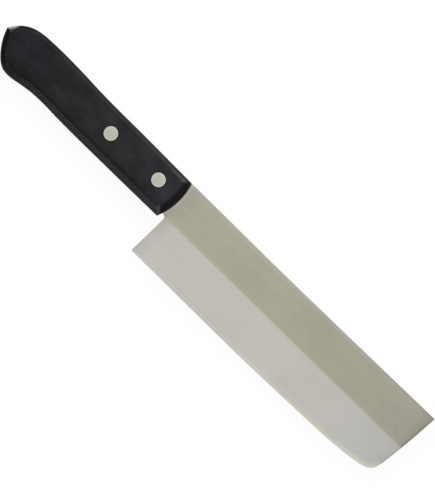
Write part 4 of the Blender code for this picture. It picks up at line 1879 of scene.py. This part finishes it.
@dataclass(frozen=True)
class RimPaintedLight:
    """How the rolled edges are painted with light and shade: painted sheen, painted shade, and a painted
    highlight over real gloss.

    A growth named for a side goes along the handle from the datum forward, and one named for its rim, line or
    reach goes in from that side. All are in millimetres, apart from the wall's, which is a rise.
    """

    wall: Growth = Growth(0.01, 0.12)
    butt_sheen: Growth = Growth(-116.6, -118.2, 0.85)
    spine_rub: tuple[Growth, ...] = (
        Growth(-115.0, -109.0, 0.11), Growth(-95.0, 12.0, 0.46), Growth(-12.0, -6.0, 0.2),
    )
    spine_end: Growth = Growth(-2.2, -3.8)
    spine_rub_rim: Growth = Growth(0.3, 0.9)
    spine_rub_width: float = 1.3
    spine_widening: Growth = Growth(-22.0, -8.0, 0.8)
    spine_rub_fade: float = 1.1
    belly_sheen: Growth = Growth(-110.0, -90.0, 0.215)
    belly_sheen_rim: Growth = Growth(0.6, 1.4)
    belly_sheen_reach: Growth = Growth(2.9, 3.7)

    slope_shade: float = 0.78
    slope_reach: Growth = Growth(3.2, 4.7)
    spine_shade: float = 0.92
    spine_shade_start: float = 0.35
    spine_shade_reach: float = 1.1
    spine_reach_at_butt: Growth = Growth(-106.0, -112.0, 1.1)
    spine_shade_end: Growth = Growth(-116.3, -117.8)
    line_shade: float = 0.56
    line_start: Growth = Growth(2.9, 3.8)
    line_reach: Growth = Growth(4.2, 5.9)
    line_thinning: Growth = Growth(-25.0, -8.0, 0.6)
    line_end: Growth = Growth(-113.0, -108.0)
    belly_shade: float = 0.95
    belly_reach: Growth = Growth(0.4, 1.35)
    belly_thinning: Growth = Growth(-40.0, -12.0, 0.35)
    low_butt: Growth = Growth(-104.5, -109.5)
    low_butt_reach: Growth = Growth(1.9, 3.3)
    turn: Growth = Growth(-92.0, -104.0, 0.3)
    turn_reach: Growth = Growth(1.8, 3.0)

    high_butt: Growth = Growth(-116.4, -117.8)
    high_butt_reach: Growth = Growth(0.85, 1.4)

    def painted_sheen(self, spot: RimSpot) -> float:
        """Say how much painted sheen the wood gets: most along the spine near the blade.

        Args:
            spot: a place on a scale.

        Returns:
            The share of the painted sheen's colour.
        """
        along = spot.along
        if spot.nearest is RimSide.BELLY:
            rim = self.belly_sheen_rim.at(spot.belly) * self.belly_sheen_reach.spared(spot.belly)
            return self.belly_sheen.at(along) * rim * self.wall.at(spot.rise)
        if spot.nearest is RimSide.FRONT:
            return 0.0
        butt = self.butt_sheen.at(along)
        strength = sum(sheen_growth.at(along) for sheen_growth in self.spine_rub) * self.spine_end.at(along) + butt
        width = self.spine_rub_width + self.spine_widening.at(along) + butt
        rim = self.spine_rub_rim.at(spot.spine) * (1 - ramped(spot.spine, width, width + self.spine_rub_fade))
        return strength * rim * self.wall.at(spot.rise)

    def shaded(self, spot: RimSpot) -> float:
        """Say how much painted shade the wood gets: on the slope over the blade, at the rim and beside the
        belly.

        Args:
            spot: a place on a scale.

        Returns:
            The share of the painted shade's dark colour.
        """
        along, belly, off_wall = spot.along, spot.belly, self.wall.at(spot.rise)
        if spot.nearest is RimSide.FRONT:
            return self.slope_shade * self.slope_reach.spared(spot.front) * off_wall
        if spot.nearest is RimSide.SPINE:
            reach = self.spine_shade_reach + self.spine_reach_at_butt.at(along)
            rim = self.spine_shade * (1 - ramped(spot.spine, self.spine_shade_start, reach))
            return rim * self.spine_shade_end.spared(along) * off_wall
        line = self.line_shade * self.line_start.at(belly) * self.line_reach.spared(belly)
        line *= self.line_thinning.spared(along) * self.line_end.at(along)
        rim = self.belly_shade * self.belly_reach.spared(belly) * self.belly_thinning.spared(along)
        butt = self.low_butt.at(along) * self.low_butt_reach.spared(belly)
        turn = self.turn.at(along) * self.low_butt.spared(along) * self.turn_reach.spared(belly)
        return min(1.0, line + max(rim, butt, turn)) * off_wall

    def gloss_and_highlight(self, spot: RimSpot) -> float:
        """Say how far the high butt's rolled edge gets real gloss and a painted highlight, on the right scale
        alone.

        Args:
            spot: a place on a scale.

        Returns:
            The share of the gloss and the painted highlight.
        """
        if spot.nearest is not RimSide.SPINE or not spot.on_right:
            return 0.0
        painted_highlight = self.high_butt.at(spot.along) * self.high_butt_reach.spared(spot.spine)
        return painted_highlight * self.wall.at(spot.rise)


@dataclass
class Handle:
    """Two scales of laminated wood with rolled edges, and the filler between them behind the tang."""

    plan: HandlePlan = field(default_factory=HandlePlan)
    blade: BladePlan = field(default_factory=BladePlan)
    inner: float = 1.05 * MM
    outer: float = 8.75 * MM
    rounding_steps: int = 10
    face_margins: tuple[float, ...] = (0.5 * MM, 1.0 * MM, 1.9 * MM)
    face_corners: int = 40
    spacer_half: float = 1.0 * MM
    spacer_steps: tuple[int, int, int] = (60, 110, 84)
    spacer_corner: tuple[Place, ...] = ((0.0, 3.0 * MM), (0.9 * MM, 0.9 * MM), (3.0 * MM, 0.0))
    ledge_gap: float = 0.1 * MM
    painted_rim_light: RimPaintedLight = field(default_factory=RimPaintedLight)

    def _scale(self, bits: Iterable[Piece]) -> Bench:
        """Shape the right scale about the datum.

        Args:
            bits: the cutters of the rivet holes.

        Returns:
            The bench with the closed piece.
        """
        rim, many = self.plan.rim()[::-1], self.face_corners
        places = [point.place for point in rim]
        bench = Bench.prism("right_scale_wood", places, self.inner, self.outer)
        depths = {number: rim[i].depth for i, number in enumerate(bench.picked_over(places))}
        shape = bench.shape()
        bench.settle({n: shape.verts[n].co - Vector((0.0, 0.0, depth)) for n, depth in depths.items()})
        bench.pick(Pick.FACES, lambda face: len(face.verts) == len(rim) and face.normal.z > UPWARD)
        bench.extrude()
        bench.stretch((1.0, 1.0, 0.0), (0.0, 0.0, self.outer))
        ridge = bench.picked_over(places)
        bench.extrude()
        bench.settle({n: (*rim[i].face, self.outer) for i, n in enumerate(bench.picked_over(places))})
        bench.pick_between(ridge)
        bpy.ops.mesh.bevel(
            offset_type="PERCENT", offset_pct=100, segments=self.rounding_steps, profile=0.5, affect="EDGES"
        )
        bench.merge()
        for margin in self.face_margins:
            inner = self.plan.rim(margin)[::-1]
            bench.pick(Pick.FACES, lambda face: len(face.verts) > many and face.normal.z > UPWARD)
            bench.extrude()
            numbers = bench.picked_over([point.face for point in rim])
            bench.settle({n: (*inner[i].face, self.outer) for i, n in enumerate(numbers)})
            rim = inner
        bench.face_out()
        bench.close()
        bench.drill(bits)
        return bench

    def _spacer(self) -> Bench:
        """Shape the filler, whose edge is flush with the scales and which clears the tang.

        Returns:
            The bench with the closed piece.
        """
        gap = self.ledge_gap
        ledge = -self.blade.neck_depth - gap
        rear, low = -self.blade.tang_length - gap, -self.blade.tang_end_width - gap
        front, belly, spine = (
            side.places(steps)[:-1] for side, steps in zip(self.plan.sides(), self.spacer_steps)
        )
        outline = [(self.plan.front_x(ledge), ledge)]
        outline += [tuple(place) for place in front if place[1] < ledge]
        outline += [tuple(place) for place in belly]
        outline += [tuple(place) for place in spine if place[0] < rear - gap]
        outline.append((rear, self.plan.top_y(rear)))
        outline += [(rear + x, low + y) for x, y in self.spacer_corner]
        bench = Bench.prism("tang_filler_wood", outline[::-1], -self.spacer_half, self.spacer_half)
        bench.face_out()
        bench.close()
        return bench

    def _paint_rim(self, piece: Piece, datum: Vector) -> None:
        """Paint the rolled edges' painted sheen, painted shade and painted highlight.

        Args:
            piece: a finished scale.
            datum: the point that it was drawn about.
        """
        sides = self.plan.sides()
        paths = [side.places(PATH_STEPS) for side in sides]
        spots = []
        for corner in piece.data.vertices:
            x, y, z = corner.co - datum
            insets = [away_from(path, (x, y)) for path in paths]
            # On the mitre between two roundings, each one's share of its own width is the same.
            shares, depths = [], []
            for side, path, inset in zip(sides, paths, insets):
                closest = int(np.linalg.norm(path - (x, y), axis=1).argmin())
                _, _, width, depth = side.at(closest / PATH_STEPS)
                shares.append(inset / width)
                depths.append(depth)
            nearest = int(np.argmin(shares))
            rise = 1 - (self.outer - abs(z)) / depths[nearest]
            front, belly, spine = (inset / MM for inset in insets)
            spots.append(RimSpot(front, belly, spine, RimSide(nearest), x / MM, rise, z > 0))
        painted_rim_light = self.painted_rim_light
        for name, painted_light in (("painted_sheen", painted_rim_light.painted_sheen), ("shaded", painted_rim_light.shaded), ("gloss_and_highlight", painted_rim_light.gloss_and_highlight)):
            paint(piece, name, (painted_light(spot) for spot in spots))

    def make(self, datum: Vector, wood: Material, filler: Material, bits: Iterable[Piece]) -> list[Piece]:
        """Make the scales and the filler.

        Args:
            datum: the point that they are drawn about.
            wood: the scales' material.
            filler: the filler's material.
            bits: the cutters of the rivet holes.

        Returns:
            The three pieces.
        """
        right = self._scale(bits)
        left = right.mirrored("left_scale_wood")
        pieces = []
        for bench, node, material in (
            (right, "right_scale", wood), (left, "left_scale", wood), (self._spacer(), "tang_spacer", filler)
        ):
            piece = bench.finish(datum)
            piece.data.materials.append(material)
            if material is wood:
                self._paint_rim(piece, datum)
            hand_over(piece, Slot.HANDLE, node)
            pieces.append(piece)
        return pieces


# Studio


@dataclass(frozen=True)
class Lamp:
    """A square lamp that faces the knife.

    It stands at an azimuth in degrees from the picture's right towards its top, and at an elevation above the
    floor. Its power is in watts.
    """

    name: str
    azimuth: float
    elevation: float
    power: float
    distance: float = 0.9
    size: float = 0.5


@dataclass
class Studio:
    """A pale floor, soft lamps, a white surround and the camera of the photograph."""

    datum: Vector
    look: Place = (31.29 * MM, -13.757 * MM)
    picture_height: float = 247.5 * MM
    turn: float = 44.6
    lens: float = 500.0
    sensor: float = 36.0
    clip: Span = (0.1, 20.0)
    floor_radius: float = 1.6
    floor_sides: int = 96
    floor_drop: float = 0.02 * MM
    floor_tone: Colour = (0.96, 0.96, 0.96)
    floor_white: float = 0.94
    surround: float = 0.72
    lamps: tuple[Lamp, ...] = (Lamp("key_lamp", 92.0, 52.0, 3.9), Lamp("fill_lamp", 30.0, 60.0, 0.9))

    @property
    def look_at(self) -> Vector:
        """Return the point in the middle of the picture."""
        return self.datum + Vector((*self.look, 0.0))

    def _white_rays(self, desk: Desk) -> Socket:
        """Find the rays that are to see plain white.

        Args:
            desk: a material's or the world's desk.

        Returns:
            1 for them.
        """
        path = desk.add("ShaderNodeLightPath").outputs
        seen = desk.maths("MAXIMUM", path["Is Camera Ray"], path["Is Glossy Ray"])
        return desk.maths("MAXIMUM", seen, path["Is Transmission Ray"])

    def _floor(self) -> None:
        """Lay a round pale floor that keeps a faint shadow."""
        bench = Bench.start(
            "studio_floor", bpy.ops.mesh.primitive_circle_add, vertices=self.floor_sides,
            radius=self.floor_radius, fill_type="NGON", location=(0.0, 0.0, -self.floor_drop),
        )
        bench.close()
        bench.fix_place()
        material, desk = new_material("pale_floor")
        matt = desk.add("ShaderNodeBsdfDiffuse", Color=(*self.floor_tone, 1.0))
        white = desk.add("ShaderNodeEmission", Strength=1.0)
        share = desk.product(self._white_rays(desk), self.floor_white)
        mix = desk.add("ShaderNodeMixShader", Fac=share, in_1=matt.outputs[0], in_2=white.outputs[0])
        desk.add("ShaderNodeOutputMaterial", Surface=mix.outputs[0])
        material.cycles.emission_sampling = "NONE"
        bench.piece.data.materials.append(material)

    def _world(self) -> None:
        """Surround the knife with even light, which looks white."""
        world = bpy.data.worlds.new("white_surround")
        world.use_nodes = True
        desk = Desk(world.node_tree)
        light, white = (
            desk.add("ShaderNodeBackground", Color=(1.0, 1.0, 1.0, 1.0), Strength=strength)
            for strength in (self.surround, 1.0)
        )
        rays = self._white_rays(desk)
        mix = desk.add("ShaderNodeMixShader", Fac=rays, in_1=light.outputs[0], in_2=white.outputs[0])
        desk.add("ShaderNodeOutputWorld", Surface=mix.outputs[0])
        world.cycles.sampling_method = "NONE"
        bpy.context.scene.world = world

    def _hang(self, lamp: Lamp) -> None:
        """Hang a lamp.

        Args:
            lamp: what it is and where it goes.
        """
        bpy.ops.object.select_all(action="DESELECT")
        around, up = math.radians(lamp.azimuth + self.turn), math.radians(lamp.elevation)
        away = Vector((math.cos(around) * math.cos(up), math.sin(around) * math.cos(up), math.sin(up)))
        bpy.ops.object.light_add(type="AREA", location=self.look_at + away * lamp.distance)
        light = bpy.context.active_object
        light.name = lamp.name
        light.rotation_euler = away.to_track_quat("Z", "Y").to_euler()
        light.data.size = lamp.size
        light.data.energy = lamp.power

    def _camera(self) -> None:
        """Stand the camera where the photograph was taken from: square above the knife."""
        distance = self.picture_height / 2 * self.lens / (self.sensor / 2)
        place = self.look_at + Vector((0.0, 0.0, distance))
        bpy.ops.object.camera_add(location=place, rotation=(0.0, 0.0, math.radians(self.turn)))
        camera = bpy.context.active_object
        camera.name = "photo_camera"
        camera.data.lens = self.lens
        camera.data.sensor_width = self.sensor
        camera.data.clip_start, camera.data.clip_end = self.clip
        bpy.context.scene.camera = camera

    def make(self) -> None:
        """Build the studio."""
        self._floor()
        self._world()
        for lamp in self.lamps:
            self._hang(lamp)
        self._camera()
        bpy.context.scene.view_settings.view_transform = "Standard"
        log.info("studio: floor, surround, %d lamps and the camera", len(self.lamps))


# The places that the finishes are laid out by, in millimetres.
RIVET_PLACES = {"front_rivet": (-13.35, -10.4), "rear_rivet": (-46.5, -10.6)}
SMUDGE_BEHIND_TIP = 8.7
SMUDGE_BELOW_DATUM = 17.3
FAR_HONED_SPAN = (-95.0, -60.0)


def find_datum(blade: BladePlan, handle: HandlePlan) -> Vector:
    """Return the point that the pieces are drawn about.

    Args:
        blade: the blade's plan, whose edge is its lowest line.
        handle: the handle's plan, whose butt is its rearmost point.

    Returns:
        The datum in the row frame.
    """
    blade_low, blade_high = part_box("blade")
    handle_low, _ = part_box("right_scale")
    middle = (blade_low.z + blade_high.z) / 2
    return Vector((handle_low.x + handle.length, blade_low.y + blade.height, middle))


def blade_finishes(datum: Vector, blade: BladePlan, handle: HandlePlan) -> dict[Zone, Material]:
    """Make the blade's steels.

    Args:
        datum: the point that the pieces are drawn about.
        blade: the blade's plan.
        handle: the handle's plan.

    Returns:
        The material of each zone.
    """
    tip_x = (datum.x + blade.tip) / MM
    front_x = datum.x + handle.front_crest - handle.front_radius
    front = (front_x / MM, (datum.y - handle.crest_depth) / MM)
    smudge = (tip_x - SMUDGE_BEHIND_TIP, datum.y / MM - SMUDGE_BELOW_DATUM)
    edge_y = (datum.y - blade.height) / MM
    finishes = {
        Zone.GROUND: BladeSteel(tip_x, edge_y, front, handle.front_radius / MM, smudge),
        Zone.SPINE: PlainSteel("spine_steel", (0.34, 0.33, 0.29), 0.42, length=20.0),
        # The eased edges' near-black steel is a painted dark reflection.
        Zone.EASED: PlainSteel("eased_steel_painted_dark", (0.075, 0.073, 0.065), 0.40, length=20.0),
        Zone.HONED: PlainSteel(
            "honed_steel", (0.515, 0.51, 0.475), 0.26, pitch=0.08, turn=84.0, far=(0.60, 0.597, 0.565),
            far_span=shifted(FAR_HONED_SPAN, tip_x),
        ),
    }
    return {zone: finish.material() for zone, finish in finishes.items()}


def main() -> None:
    """Build the finishes, the pieces and the studio."""
    logging.basicConfig(level=logging.INFO, format="%(name)s: %(message)s")
    blade_plan, handle_plan = BladePlan(), HandlePlan()
    datum = find_datum(blade_plan, handle_plan)
    rivets = [Rivet(name, (x * MM, y * MM)) for name, (x, y) in RIVET_PLACES.items()]
    bits = [rivet.drill_bit() for rivet in rivets]
    axes = tuple(((datum.x + rivet.place[0]) / MM, (datum.y + rivet.place[1]) / MM) for rivet in rivets)
    Blade(blade_plan, handle_plan).make(datum, blade_finishes(datum, blade_plan, handle_plan), bits)
    wood = DarkWood(
        "dark_wood", (datum.x / MM, datum.y / MM), axes, (CAD_LOW.x / MM, datum.x / MM),
        (datum.y - handle_plan.width) / MM,
    )
    Handle(handle_plan, blade_plan).make(datum, wood.material(), DarkWood("filler_wood").material(), bits)
    for bit in bits:
        bpy.data.objects.remove(bit)
    # The discs hold the heads' own tone; the paler colour round them on the broken rims is partly a painted
    # highlight.
    rivet_steel = PlainSteel(
        "rivet_steel", (0.447, 0.439, 0.412), 0.30, length=9.0, pitch=0.1, turn=30.0, centres=axes,
    ).material()
    for rivet in rivets:
        rivet.make(datum, rivet_steel)
    Studio(datum).make()


if __name__ == "__main__":
    main()
